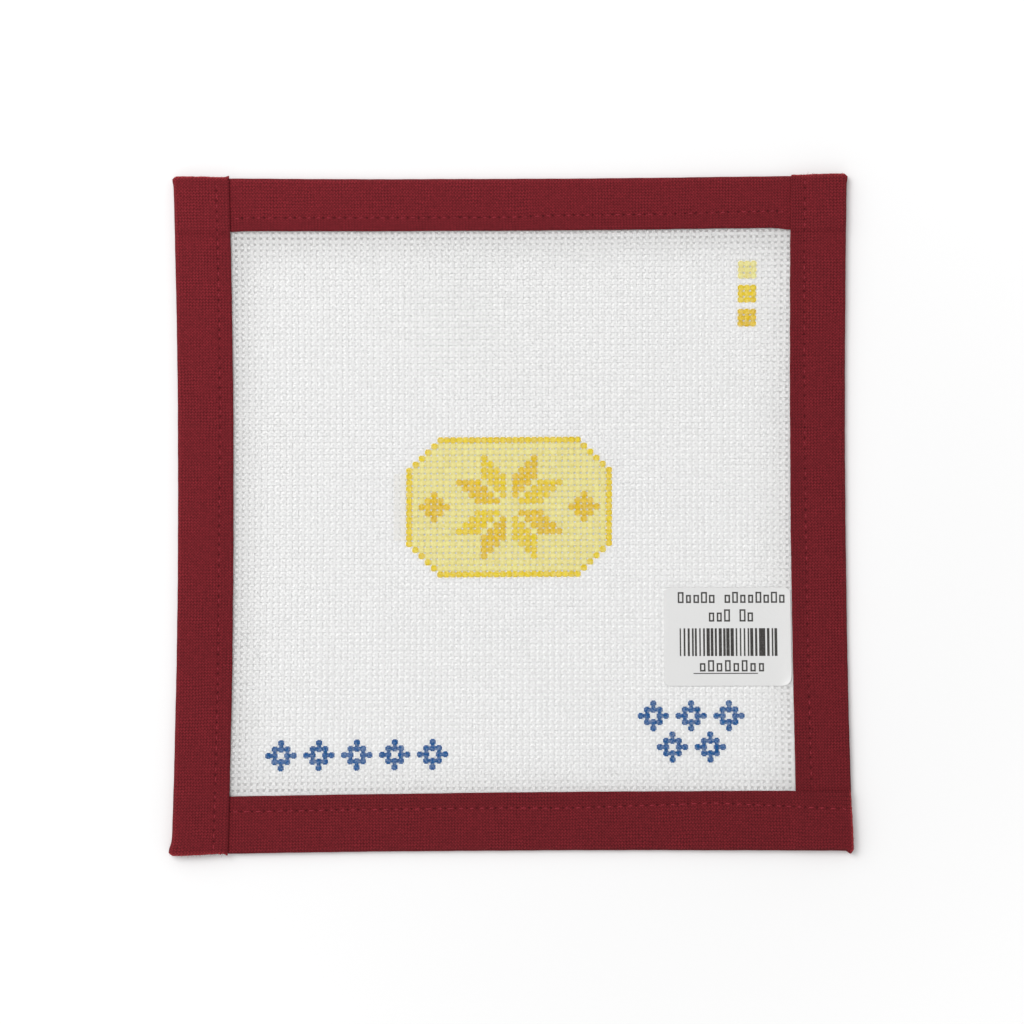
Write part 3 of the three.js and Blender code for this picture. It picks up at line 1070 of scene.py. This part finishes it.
def section_places(side):
    """Columns of a tape's section from its front free edge, round the fold, to its back one: how
    far inward each is, and which way out it is, from 1 in front to -1 behind."""
    seam = seam_inward(side)

    def leaf(edge):
        coarse = np.linspace(edge, seam + BY_SEAM[0], EDGE_COLUMNS)[:-1]
        rest = np.linspace(seam + BY_SEAM[-1], FOLD_END, LEAF_COLUMNS)[1:]
        return np.concatenate([coarse, seam + BY_SEAM, rest])

    turn = np.radians(FOLD_TURNS)
    front, back = leaf(leaf_width(side, True)), leaf(leaf_width(side, False))[::-1]
    inward = np.concatenate([front, FOLD_END - FOLD_RADIUS * np.cos(turn), back])
    way = np.concatenate([np.ones(len(front)), np.sin(turn), -np.ones(len(back))])
    return inward, way


HOLE_BEFORE_CUT = 1.2  # the last hole of a seam that runs out to a cut end
HOLE_BEFORE_NEIGHBOUR = 0.8  # and of one that goes under the next tape
SPACING_UNEVEN = 0.5, 0.13  # of the holes, in slow waves and from hole to hole


def needle_holes(side):
    """Places of a seam's needle holes along its side, a little uneven as guided by hand."""
    stops = []
    for way, lies, neighbour in ends(side):
        if lies == "over":
            reach = cut_at(side, lies) - HOLE_BEFORE_CUT
        else:
            reach = half_along(side) - FRONT_LEAF[neighbour] - HOLE_BEFORE_NEIGHBOUR
        stops.append(way * reach)
    count = round((stops[1] - stops[0]) / STITCH[side])
    holes = np.linspace(*stops, count + 1)
    slow, quick = SPACING_UNEVEN
    jitter = draws("holes", side).normal(0, quick, count + 1)
    return holes + waver(holes, slow, (47, 29), "spacing", side) + jitter


ROW_STEP = 0.5
CUT_ROWS = [0, 0.15, 0.32]  # closer rows at both ends


def tape_rows(side):
    """Places of a tape's rows along its side."""
    (_, first, _), (_, last, _) = ends(side)
    start, finish = -cut_at(side, first), cut_at(side, last)
    inner = CUT_ROWS[-1] + ROW_STEP
    count = round((finish - start - 2 * inner) / ROW_STEP)
    middle = np.linspace(start + inner, finish - inner, count + 1)
    return np.concatenate([start + np.array(CUT_ROWS), middle, finish - np.array(CUT_ROWS[::-1])])


RAGGED = 0.1  # how far a cut end is in and out
RAGGED_WAVES = (5.1, 2.3, 1.3, 0.9)
BACK_AWAY = 7  # puts the back leaf on another part of those waves
ROUNDED = (-0.4, 1.8, 0.9)  # how a cut end is drawn in at the fold: from, to and how far
EAR_RUN = 0.9  # how far along the cut its pulled-out corner reaches
SPREAD_RUN = 8  # how far from the fold a leaf still spreads
FRAY_RUN = 5  # how far from the cut the cloth is still pulled
FAR_OFF = 1e3


def from_cut(side, along):
    """How far a place along a side is from a cut end that shows, if there is one."""
    distance = np.full(np.shape(along), FAR_OFF)
    for way, lies, _ in ends(side):
        if lies == "over":
            distance = np.minimum(distance, cut_at(side, lies) - way * along)
    return distance


def frayed(side, along, inward, way):
    """A cut end is uneven and reaches past the cloth under it, and the fold spreads there."""
    cut = from_cut(side, along)
    leaf = np.where(way > 0, leaf_width(side, True), leaf_width(side, False))
    ragged = waver(inward + BACK_AWAY * way, RAGGED, RAGGED_WAVES, "cut", side)
    start, finish, drawn_in = ROUNDED
    rounded = drawn_in * (1 - smoothstep(inward, start, finish))
    longer = ragged - rounded - OVERHANG
    wider = 0
    for end_way, lies, _ in ends(side):
        if lies == "over":
            end = CUT_ENDS[side, end_way]
            here = np.sign(along) == end_way
            reach = lerp(end["fold"], end["free"], np.clip(inward / leaf, 0, 1) ** 2)
            longer = longer + here * (reach + end["ear"] * bump(leaf - inward, EAR_RUN))
            spread = end["spread"] * bump(cut, end["run"]) * np.maximum(0, 1 - inward / SPREAD_RUN)
            wider = wider + here * spread
    return along + np.sign(along) * (1 - smoothstep(cut, 0, FRAY_RUN)) * longer, inward - wider


# What the seam does to the tape: how deep it presses the cloth, and how far from the seam or from
# a needle hole. Then how uneven the free edge and the fold run, and where the cloth is worn.
GROOVE, GROOVE_REACH = 0.05, 0.7
HOLE, HOLE_ACROSS, HOLE_ALONG = 0.20, 0.34, 0.5
PUCKER, PUCKER_REACH = 0.045, 1.3
EDGE_WAVES = (83, 41, 13)
EDGE_UNEVEN = 0.06
FOLD_WAVES = (71, 29, 9)
FOLD_UNEVEN = 0.05
FOLD_UNEVEN_RUN = 6
CUT_WEAR, CUT_WEAR_REACH = 0.9, 0.45
FOLD_WEAR, FOLD_WEAR_REACH = 0.12, 1.2


def fold_tape(side, material):
    """One tape, folded over the canvas's edge: its section at each row, as thick as the cloth."""
    base, way = section_places(side)
    along = tape_rows(side)[:, None]
    seam = seam_inward(side)
    inward = np.repeat(base[None], len(along), axis=0)
    for front in (True, False):
        places = [FOLD_END, seam, leaf_width(side, front)]
        follows = np.interp(base, places, [0, 1, 0]) * (way > 0 if front else way < 0)
        inward = inward + (seam_inward(side, along) - seam) * follows
    free_edge = smoothstep(base, seam, seam + SEAM_INSET) * (way > 0)
    wandering = waver(along, EDGE_UNEVEN, EDGE_WAVES, "free edge", side)
    inward = inward + free_edge * (leaf_taper(side, along) - wandering)
    by_fold = 1 - smoothstep(base, 0, FOLD_UNEVEN_RUN)
    inward = inward + by_fold * waver(along, FOLD_UNEVEN, FOLD_WAVES, "fold", side)
    past_fold = np.maximum(inward, FOLD_END)
    heights = [leaf_height(side, along, past_fold, front) for front in (True, False)]
    height = np.where(way > 0, *heights) * way

    across, up = np.gradient(inward, axis=1), np.gradient(height, axis=1)
    size = np.hypot(across, up)
    normal_in, normal_up = up / size, -across / size
    holes = needle_holes(side)
    stitch = np.interp(along, holes, np.arange(len(holes)), left=-1, right=len(holes))
    sewn = (stitch >= 0) & (stitch < len(holes))
    to_hole = abs(along - holes[np.rint(stitch).astype(int).clip(0, len(holes) - 1)])
    from_seam = inward - seam_inward(side, along)
    groove = GROOVE * bump(from_seam, GROOVE_REACH)
    hole = HOLE * bump(from_seam, HOLE_ACROSS) * bump(to_hole, HOLE_ALONG)
    pucker = PUCKER * np.cos(2 * np.pi * stitch) * bump(from_seam, PUCKER_REACH)
    pressed = np.where(sewn, groove + hole + pucker, 0)
    faces = []
    for thick in (TAPE_THICKNESS / 2 - pressed, -TAPE_THICKNESS / 2 * np.ones_like(pressed)):
        cloth_in = inward + normal_in * thick
        cloth_up = height + normal_up * thick
        where = frayed(side, along * np.ones_like(inward), cloth_in, way * np.ones_like(inward))
        points = lay_down(*on_side(side, *where), cloth_up)
        points[..., 2] = np.maximum(points[..., 2], 0)
        faces.append(points)
    slab = Slab("tape_" + side, *faces)

    cloth = np.concatenate([[0], np.cumsum(np.hypot(np.diff(inward[0]), np.diff(height[0])))])
    write_places(slab.mesh, along[slab.row, 0] * MM, cloth[slab.column] * MM, CLOTH_MAP)
    far = np.where(sewn, to_hole, SEAM_INSET)[:, 0]
    write_places(slab.mesh, far[slab.row] * MM, from_seam[slab.row, slab.column] * MM, SEAM_MAP)
    at_cut = CUT_WEAR * bump(from_cut(side, along), CUT_WEAR_REACH)
    wear = np.maximum(at_cut, FOLD_WEAR * bump(inward, FOLD_WEAR_REACH)) * np.ones_like(inward)
    layer = slab.mesh.attributes.new(WEAR, "FLOAT", "CORNER")
    layer.data.foreach_set("value", wear[slab.row, slab.column].astype(np.float32))
    return finish_piece(slab.piece, "tape", material, "binding_" + side)


# ---------------------------------------------------------------- seams and frayed ends

STITCH_SIDES, STITCH_STEPS = 6, 8
STITCH_LOOSE = 0.14  # how differently the stitches stand out
STITCH_SLANT = 0.1, 0.08  # of the stitches, in mm at each end: on average, and how it differs
LAST_SLANT = -0.8  # of the bottom seam's last stitch in front
BACK_PROUD = 0.35  # how far a stitch behind stands out, in the numbers of SEAM_PROUD
SUNK = 0.62  # the number at which the middle of a thread is level with the cloth's face
STITCH_ENDS = -0.65  # of a stitch's ends over the cloth's face: they are below it
ARCH_POWER = 1.6
PRESSED_THREAD = 0.85  # how much of its height the upper half of a thread keeps


def sew_seam(side, groups):
    """One seam: the stitches of the upper thread in front, and the bobbin thread's behind."""
    holes = needle_holes(side)
    stitches = len(holes) - 1
    (thread,) = in_millimetres("seam", "thread")
    tubes = Tubes("stitches_" + side, round_ring(STITCH_SIDES), STITCH_STEPS, 2 * stitches)
    front = tubes.copy < stitches
    number = tubes.copy % stitches
    t = tubes.step / STITCH_STEPS
    draw = draws("stitches", side)
    loose = draw.normal(0, STITCH_LOOSE, 2 * stitches)[tubes.copy]
    mean_slant, slant_spread = STITCH_SLANT
    slant = draw.normal(0, slant_spread, 2 * stitches)[tubes.copy] + mean_slant
    if side == "bottom":
        slant = np.where(front & (number == stitches - 1), LAST_SLANT, slant)
    proud = np.where(front, SEAM_PROUD[side], BACK_PROUD) + loose
    along = lerp(holes[number], holes[number + 1], t)
    seam = seam_inward(side, along)
    surface = np.where(front, *[leaf_height(side, along, seam, leaf) for leaf in (True, False)])
    arch = np.maximum(np.sin(np.pi * t), 0) ** ARCH_POWER
    rise = TAPE_THICKNESS / 2 + lerp(STITCH_ENDS, thread * (proud - SUNK), arch)
    w = surface + rise + tubes.top * thread / 2 * np.where(tubes.top > 0, PRESSED_THREAD, 1)
    inward = seam + slant * (t - 0.5) * 2 + tubes.side * thread / 2
    u, v = on_side(side, along, inward)
    points = lay_down(u, v, np.where(front, w, -w))
    points[:, 2] = np.maximum(points[:, 2], 0)
    tubes.place(points)
    material = sewing_material(groups, tubes, "red_thread_" + side, settings("seam").red)
    return finish_piece(tubes.piece, "thread", material, f"seam_{side}_front", f"seam_{side}_back")


FIBRE_SIDES, FIBRE_STEPS = 4, 4
FIBRE_SIZE = -0.9, 0.45  # the middle and the spread of the draw for their lengths
FIBRE_RADIUS = 0.03, 0.055
FIBRE_TAPER = 0.6  # of its radius, lost at its tip
FRONT_SHARE = 0.7  # of the fibres, on front leaves
FIBRE_LEAN, FIBRE_BEND = 0.9, 0.8  # sideways, in radians
FIBRE_RISE = 0.35  # up or down, for each mm out
FIBRE_ROOT = 0.15  # how far back in the cloth it starts
FIRST_FIBRE = 0.2  # how near to the fold
LEAST_CLEAR = 0.02  # over the table
FOLD_LEAST = 0.05  # the share of FOLD_END within which a fibre gets no nearer to mid-height


def fray_ends(groups):
    """Loose fibres that stand out of the cloth at the four cut ends that show."""
    count = settings("seam").fibres
    cuts = [(side, way) for side in TAPES for way, lies, _ in ends(side) if lies == "over"]
    total = count * len(cuts)
    tubes = Tubes("loose_fibres", round_ring(FIBRE_SIDES), FIBRE_STEPS, total)
    t = tubes.step / FIBRE_STEPS
    points = np.zeros((len(t), 3))
    draw = draws("fibres")
    size = draw.lognormal(*FIBRE_SIZE, total)[tubes.copy]
    lean, rise, bend = draw.normal(0, 1, (3, total))[:, tubes.copy]
    start = draw.uniform(0, 1, total)[tubes.copy]
    upper = draw.uniform(0, 1, total)[tubes.copy] < FRONT_SHARE
    radius = draw.uniform(*FIBRE_RADIUS, total)[tubes.copy] * (1 - FIBRE_TAPER * t)
    for k, (side, way) in enumerate(cuts):
        mine = tubes.copy // count == k
        fray = CUT_ENDS[side, way]["fray"]
        front = upper[mine]
        edge = np.where(front, leaf_width(side, True), leaf_width(side, False))
        inward = lerp(FIRST_FIBRE, edge, start[mine])
        along = way * np.full(inward.shape, cut_at(side, "over"))
        out = np.where(front, 1.0, -1.0)
        root = frayed(side, along, inward, out)
        past_fold = np.maximum(inward, FOLD_END)
        leaves = [leaf_height(side, along, past_fold, leaf) for leaf in (True, False)]
        flat = np.sqrt(np.clip(inward / FOLD_END, FOLD_LEAST, 1))
        height = out * np.where(front, *leaves) * flat
        reach = size[mine] * fray * t[mine]
        turn = FIBRE_LEAN * lean[mine] + FIBRE_BEND * bend[mine] * t[mine]
        place_along = root[0] + way * (reach * np.cos(turn) - FIBRE_ROOT)
        place_in = root[1] + reach * np.sin(turn) + tubes.side[mine] * radius[mine]
        w = height + FIBRE_RISE * rise[mine] * reach + tubes.top[mine] * radius[mine]
        points[mine] = lay_down(*on_side(side, place_along, place_in), w)
    points[:, 2] = np.maximum(points[:, 2], LEAST_CLEAR * MM)
    tubes.place(points)
    material = sewing_material(groups, tubes, "frayed_red_cotton", settings("tape").worn, plies=1)
    return finish_piece(tubes.piece, "tape", material)


# ---------------------------------------------------------------- the price label

# Lines of boxes, in mm from the label's middle. Gap is the number of the box that is left out, if
# there are that many, and draw picks which boxes are low or narrow.
PRINT_LINES = [
    {"left": -16.0, "pitch": 2.48, "boxes": 14, "base": 10.7, "height": 3.5, "gap": 5, "draw": 3},
    {"left": -6.2, "pitch": 2.47, "boxes": 6, "base": 4.8, "height": 3.9, "gap": 3, "draw": 11},
    {"left": -9.3, "pitch": 2.67, "boxes": 8, "base": -11.0, "height": 3.6, "gap": 12, "draw": 5},
]
LOW_BOX = 0.74  # a low box's height, for each mm of a tall one's
LOW_SHARE = 0.6  # of the boxes, about
BOX_HALF = 0.2, 0.78  # half a box's width: how it differs, and the least
STROKE = 0.5
BARS = {"left": -15.6, "right": 16.2, "low": -6.1, "high": 2.7, "pitch": 1.27}
BAR_DRAWS = 20.5, 50.5
BAR_HALF = 0.3, 0.17  # half a bar's width in pitches: how it differs, and the least
BAR_MIDDLE = 0.3, 0.35  # and where its middle is
UNDERLINE = {"left": -10.9, "right": 9.6, "middle": -11.6, "thickness": 0.3}
NO_PRINT = 1.0  # a place far outside the print, for the label's back
PAPER_GRAIN = 3500  # to the metre or so


def boxes_mask(tree, x, y, line):
    """A line of plain upright boxes, some lower or narrower than others, with a gap in it."""
    pitch, count, height = line["pitch"], line["boxes"], line["height"]
    run = tree.math("DIVIDE", tree.plus(x, -line["left"]), pitch)
    aside = tree.times(tree.plus(tree.math("FRACT", run), -0.5), pitch)
    number = tree.math("FLOOR", run)
    drawn = tree.random(tree.plus(number, line["draw"]))
    half = tree.math("MULTIPLY_ADD", drawn, *BOX_HALF)
    low = tree.math("LESS_THAN", drawn, LOW_SHARE)
    tall = tree.math("MULTIPLY_ADD", low, (LOW_BOX - 1) * height, height)
    middle = tree.math("MULTIPLY_ADD", tall, 0.5, line["base"])
    masks = []
    for less in (0, STROKE):
        up = tree.within(y, middle, tree.math("MULTIPLY_ADD", tall, 0.5, -less))
        masks.append(tree.times(tree.within(aside, 0, tree.plus(half, -less)), up))
    inside = tree.within(run, count / 2, count / 2)
    kept = tree.math("SUBTRACT", 1, tree.within(number, line["gap"], 0.5))
    return tree.times(tree.math("SUBTRACT", *masks), inside, kept)


def label_material(groups):
    """White paper with grey print: lines of plain boxes, a band of upright bars and a rule."""
    chosen = settings("label")
    material, tree = new_material("printed_paper")
    x, y = [tree.times(part, 1 / MM) for part in tree.map(PRINT_MAP)]
    masks = [boxes_mask(tree, x, y, line) for line in PRINT_LINES]
    run = tree.math("DIVIDE", tree.plus(x, -BARS["left"]), BARS["pitch"])
    number = tree.math("FLOOR", run)
    wide, aside = [tree.random(tree.plus(number, more)) for more in BAR_DRAWS]
    half = tree.math("MULTIPLY_ADD", tree.times(wide, wide), *BAR_HALF)
    middle = tree.math("MULTIPLY_ADD", aside, *BAR_MIDDLE)
    bars = tree.within(tree.math("FRACT", run), middle, half)
    band = tree.between(x, BARS["left"], BARS["right"])
    masks.append(tree.times(bars, band, tree.between(y, BARS["low"], BARS["high"])))
    rule = tree.between(x, UNDERLINE["left"], UNDERLINE["right"])
    masks.append(tree.times(rule, tree.within(y, UNDERLINE["middle"], UNDERLINE["thickness"] / 2)))
    ink = masks[0]
    for mask in masks[1:]:
        ink = tree.math("MAXIMUM", ink, mask)
    place = tree.place()
    grain = tree.noise(place, PAPER_GRAIN, detail=3)
    ink = tree.times(ink, tree.fade(grain, 0.2, 0.5, 0.85, 1.0))
    paper = scaled(tree, rgba(chosen.paper), mottled(tree, groups, "paper", place))
    tree.shade(
        {
            "Base Color": tree.mix(ink, paper, rgba(chosen.ink)),
            "Roughness": 0.42,
            "Normal": tree.bump(grain, *RELIEF["paper"]),
        }
    )
    return material


LABEL_STEP = 0.45
BY_CORNER = np.array([0, 0.1, 0.25, 0.45, 0.7])  # rows and columns there, for each mm of its radius
LABEL_CLEAR = 0.04  # over the threads
PRESSED_IN = 0.02  # how far the crossings stand out in the paper and the holes go in
PEEL_REACH = 3.4  # from the curled corner, over which the paper has come off
CURL_BACK = 0.55  # how far the curled corner has gone back, across and up
TINY = 1e-9


def stick_label(groups):
    """The label: rounded corners, the canvas's crossings pressed through, one corner curled."""
    names = "across", "up", "width", "height", "corner", "thickness", "curl"
    across, up, width, height, corner, thickness, curl = in_millimetres("label", *names)
    thread_height, crimp = in_millimetres("canvas", "thread_height", "crimp")

    def lines(size):
        inner = size / 2 - corner
        edge = -size / 2 + corner * BY_CORNER
        middle = np.linspace(-inner, inner, round(2 * inner / LABEL_STEP) + 1)
        return np.concatenate([edge, middle, -edge[::-1]])

    x, y = np.meshgrid(lines(width), lines(height))
    past_x, past_y = abs(x) - (width / 2 - corner), abs(y) - (height / 2 - corner)
    turned = (past_x > 0) & (past_y > 0)
    pull = np.maximum(past_x, past_y) / np.maximum(np.hypot(past_x, past_y), TINY)
    x = np.where(turned, np.sign(x) * (width / 2 - corner + past_x * pull), x)
    y = np.where(turned, np.sign(y) * (height / 2 - corner + past_y * pull), y)
    u, v = across + x, up + y
    waves = [np.cos(2 * np.pi * thread) for thread in crossing_at(u, v)]
    pressed = PRESSED_IN * np.prod(waves, axis=0)
    to_corner = (width / 2 - x + height / 2 + y) / math.sqrt(2)
    peel = np.clip(1 - to_corner / PEEL_REACH, 0, 1)
    w = crimp + thread_height / 2 + LABEL_CLEAR + pressed * (1 - peel) + curl * peel**2
    back = CURL_BACK * peel**2
    u, v = u - back, v + back
    slab = Slab("sticker", lay_down(u, v, w + thickness), lay_down(u, v, w))
    places = x[slab.row, slab.column] * MM, y[slab.row, slab.column] * MM
    print_x = np.where(slab.upper, places[0], NO_PRINT)
    write_places(slab.mesh, print_x, places[1], PRINT_MAP)
    return finish_piece(slab.piece, "label", label_material(groups), "price_label")


# ---------------------------------------------------------------- stage


def add_lamp(watts, size, spot):
    """A square soft lamp that faces the middle of the table."""
    tilt = math.atan2(math.hypot(spot[0], spot[1]), spot[2])
    turn = math.atan2(spot[0], -spot[1])
    bpy.ops.object.light_add(type="AREA", location=spot, rotation=(tilt, 0, turn))
    lamp = bpy.context.object
    lamp.data.size = size
    lamp.data.energy = watts


TABLE_SIZE = 6
GLOW_RANGE = 0.12, 0.26  # from the middle, where the glow is the near one and where the far one
OPEN_RANGE = 0.092, 0.1  # to each side, where the glow under the open canvas ends
SENSOR_WIDTH = 36
CLIP_RANGE = 0.05, 20
WHITE = (1, 1, 1, 1)


def set_stage():
    """A wide white table that glows as painted light, two lamps at the upper left, light all round,
    and the camera.
    """
    chosen = settings("stage")
    bpy.ops.object.select_all(action="DESELECT")
    bpy.ops.mesh.primitive_plane_add(size=TABLE_SIZE)
    table = bpy.context.object
    table.name = "table"
    material, tree = new_material("white_table")
    place = tree.place()
    away = tree.add("ShaderNodeVectorMath", {0: place}, operation="LENGTH").outputs["Value"]
    # painted light: the table glows, less beside the piece than further off and most under the open
    # canvas
    glow = tree.fade(away, *GLOW_RANGE, chosen.near_glow, chosen.far_glow)
    aside = tree.math("MAXIMUM", *[tree.math("ABSOLUTE", part) for part in tree.apart(place)])
    glow = tree.plus(glow, tree.fade(aside, *OPEN_RANGE, chosen.under_glow, 0.0))
    tree.shade(
        {
            "Base Color": rgba(chosen.table),
            "Roughness": 0.9,
            "Specular IOR Level": 0.1,
            "Emission Color": WHITE,
            "Emission Strength": glow,
        }
    )
    table.data.materials.append(material)

    aim = (chosen.aim_across, chosen.aim_up)
    bpy.ops.object.camera_add(location=(*aim, chosen.camera_height), rotation=(0, 0, 0))
    camera = bpy.context.object
    camera.data.lens = chosen.lens
    camera.data.sensor_width = SENSOR_WIDTH
    camera.data.clip_start, camera.data.clip_end = CLIP_RANGE
    scene = bpy.context.scene
    scene.camera = camera

    add_lamp(chosen.key_lamp, chosen.key_size, chosen.key_place)
    add_lamp(chosen.wide_lamp, chosen.wide_size, chosen.wide_place)

    sky = bpy.data.worlds.new("soft_light")
    sky.use_nodes = True
    light = sky.node_tree.nodes["Background"].inputs
    light["Color"].default_value = WHITE
    light["Strength"].default_value = chosen.sky
    scene.world = sky
    scene.view_settings.view_transform = "Standard"


# ---------------------------------------------------------------- operators


GROUPS = {}


def shared_groups():
    """The effects that more than one material uses, each made once."""
    if not GROUPS:
        GROUPS.update(mottling=mottling_group(), twist=twist_group(), weave=weave_group())
    return GROUPS


class SetStage(bpy.types.Operator):
    """Adds the table, the lights and the camera"""

    bl_idname = "needlepoint.set_stage"
    bl_label = "Set the stage"

    def execute(self, context):
        set_stage()
        return {"FINISHED"}


class WeaveCanvas(bpy.types.Operator):
    """Weaves the canvas thread by thread and paints its crossings"""

    bl_idname = "needlepoint.weave_canvas"
    bl_label = "Weave and paint the canvas"

    def execute(self, context):
        chosen = settings("canvas")
        runs = [
            ("uprights", chosen.uprights, chosen.levels + 1, HALF_HEIGHT - CANVAS_INSET, True),
            ("levels", chosen.levels, chosen.uprights + 1, HALF_WIDTH - CANVAS_INSET, False),
        ]
        for run in runs:
            tubes, piece = weave_threads(*run)
            finish_piece(piece, "canvas", cotton_material(shared_groups(), tubes), "canvas")
        return {"FINISHED"}


class FoldTapes(bpy.types.Operator):
    """Folds the four tapes over the canvas's edges"""

    bl_idname = "needlepoint.fold_tapes"
    bl_label = "Fold the tapes"

    def execute(self, context):
        material = tape_material(shared_groups())
        for side in TAPES:
            fold_tape(side, material)
        return {"FINISHED"}


class SewSeams(bpy.types.Operator):
    """Sews the lockstitch seams, front and back"""

    bl_idname = "needlepoint.sew_seams"
    bl_label = "Sew the seams"

    def execute(self, context):
        for side in TAPES:
            sew_seam(side, shared_groups())
        return {"FINISHED"}


class FrayEnds(bpy.types.Operator):
    """Adds loose fibres at the cut ends of the tapes"""

    bl_idname = "needlepoint.fray_ends"
    bl_label = "Fray the cut ends"

    def execute(self, context):
        fray_ends(shared_groups())
        return {"FINISHED"}


class StickLabel(bpy.types.Operator):
    """Sticks the price label on the front"""

    bl_idname = "needlepoint.stick_label"
    bl_label = "Stick on the label"

    def execute(self, context):
        stick_label(shared_groups())
        return {"FINISHED"}


class DeclareCloth(bpy.types.Operator):
    """Makes a list of the pieces on the canvas and reads the tape's width, but uses neither"""

    bl_idname = "needlepoint.declare_cloth"
    bl_label = "State the cloth's sizes"

    def execute(self, context):
        on_it = ["levels", "sticker", "loose_fibres"]
        on_it += [kind + side for kind in ("tape_", "stitches_") for side in TAPES]
        for side in TAPES:
            width = settings("tape").width
        return {"FINISHED"}


STEPS = [SetStage, WeaveCanvas, FoldTapes, SewSeams, FrayEnds, StickLabel, DeclareCloth]


class NeedlepointPanel(bpy.types.Panel):
    """Lists the steps in order, with the sizes and colours that they use"""

    bl_idname = "VIEW3D_PT_needlepoint"
    bl_label = "Needlepoint canvas"
    bl_space_type = "VIEW_3D"
    bl_region_type = "UI"
    bl_category = "Needlepoint"

    def draw(self, context):
        for step in STEPS:
            self.layout.operator(step.bl_idname)
        for name, group in SETTINGS.items():
            box = self.layout.box()
            box.label(text=name.title())
            for field in group.__annotations__:
                box.prop(settings(name), field)


def register():
    for group in SETTINGS.values():
        bpy.utils.register_class(group)
    for name, group in SETTINGS.items():
        setattr(bpy.types.Scene, "needlepoint_" + name, bpy.props.PointerProperty(type=group))
    for step in [*STEPS, NeedlepointPanel]:
        bpy.utils.register_class(step)


def unregister():
    for step in [NeedlepointPanel, *reversed(STEPS)]:
        bpy.utils.unregister_class(step)
    for name, group in reversed(SETTINGS.items()):
        delattr(bpy.types.Scene, "needlepoint_" + name)
        bpy.utils.unregister_class(group)


def main():
    register()
    for step in STEPS:
        area, name = step.bl_idname.split(".")
        getattr(getattr(bpy.ops, area), name)()


if __name__ == "__main__":
    main()
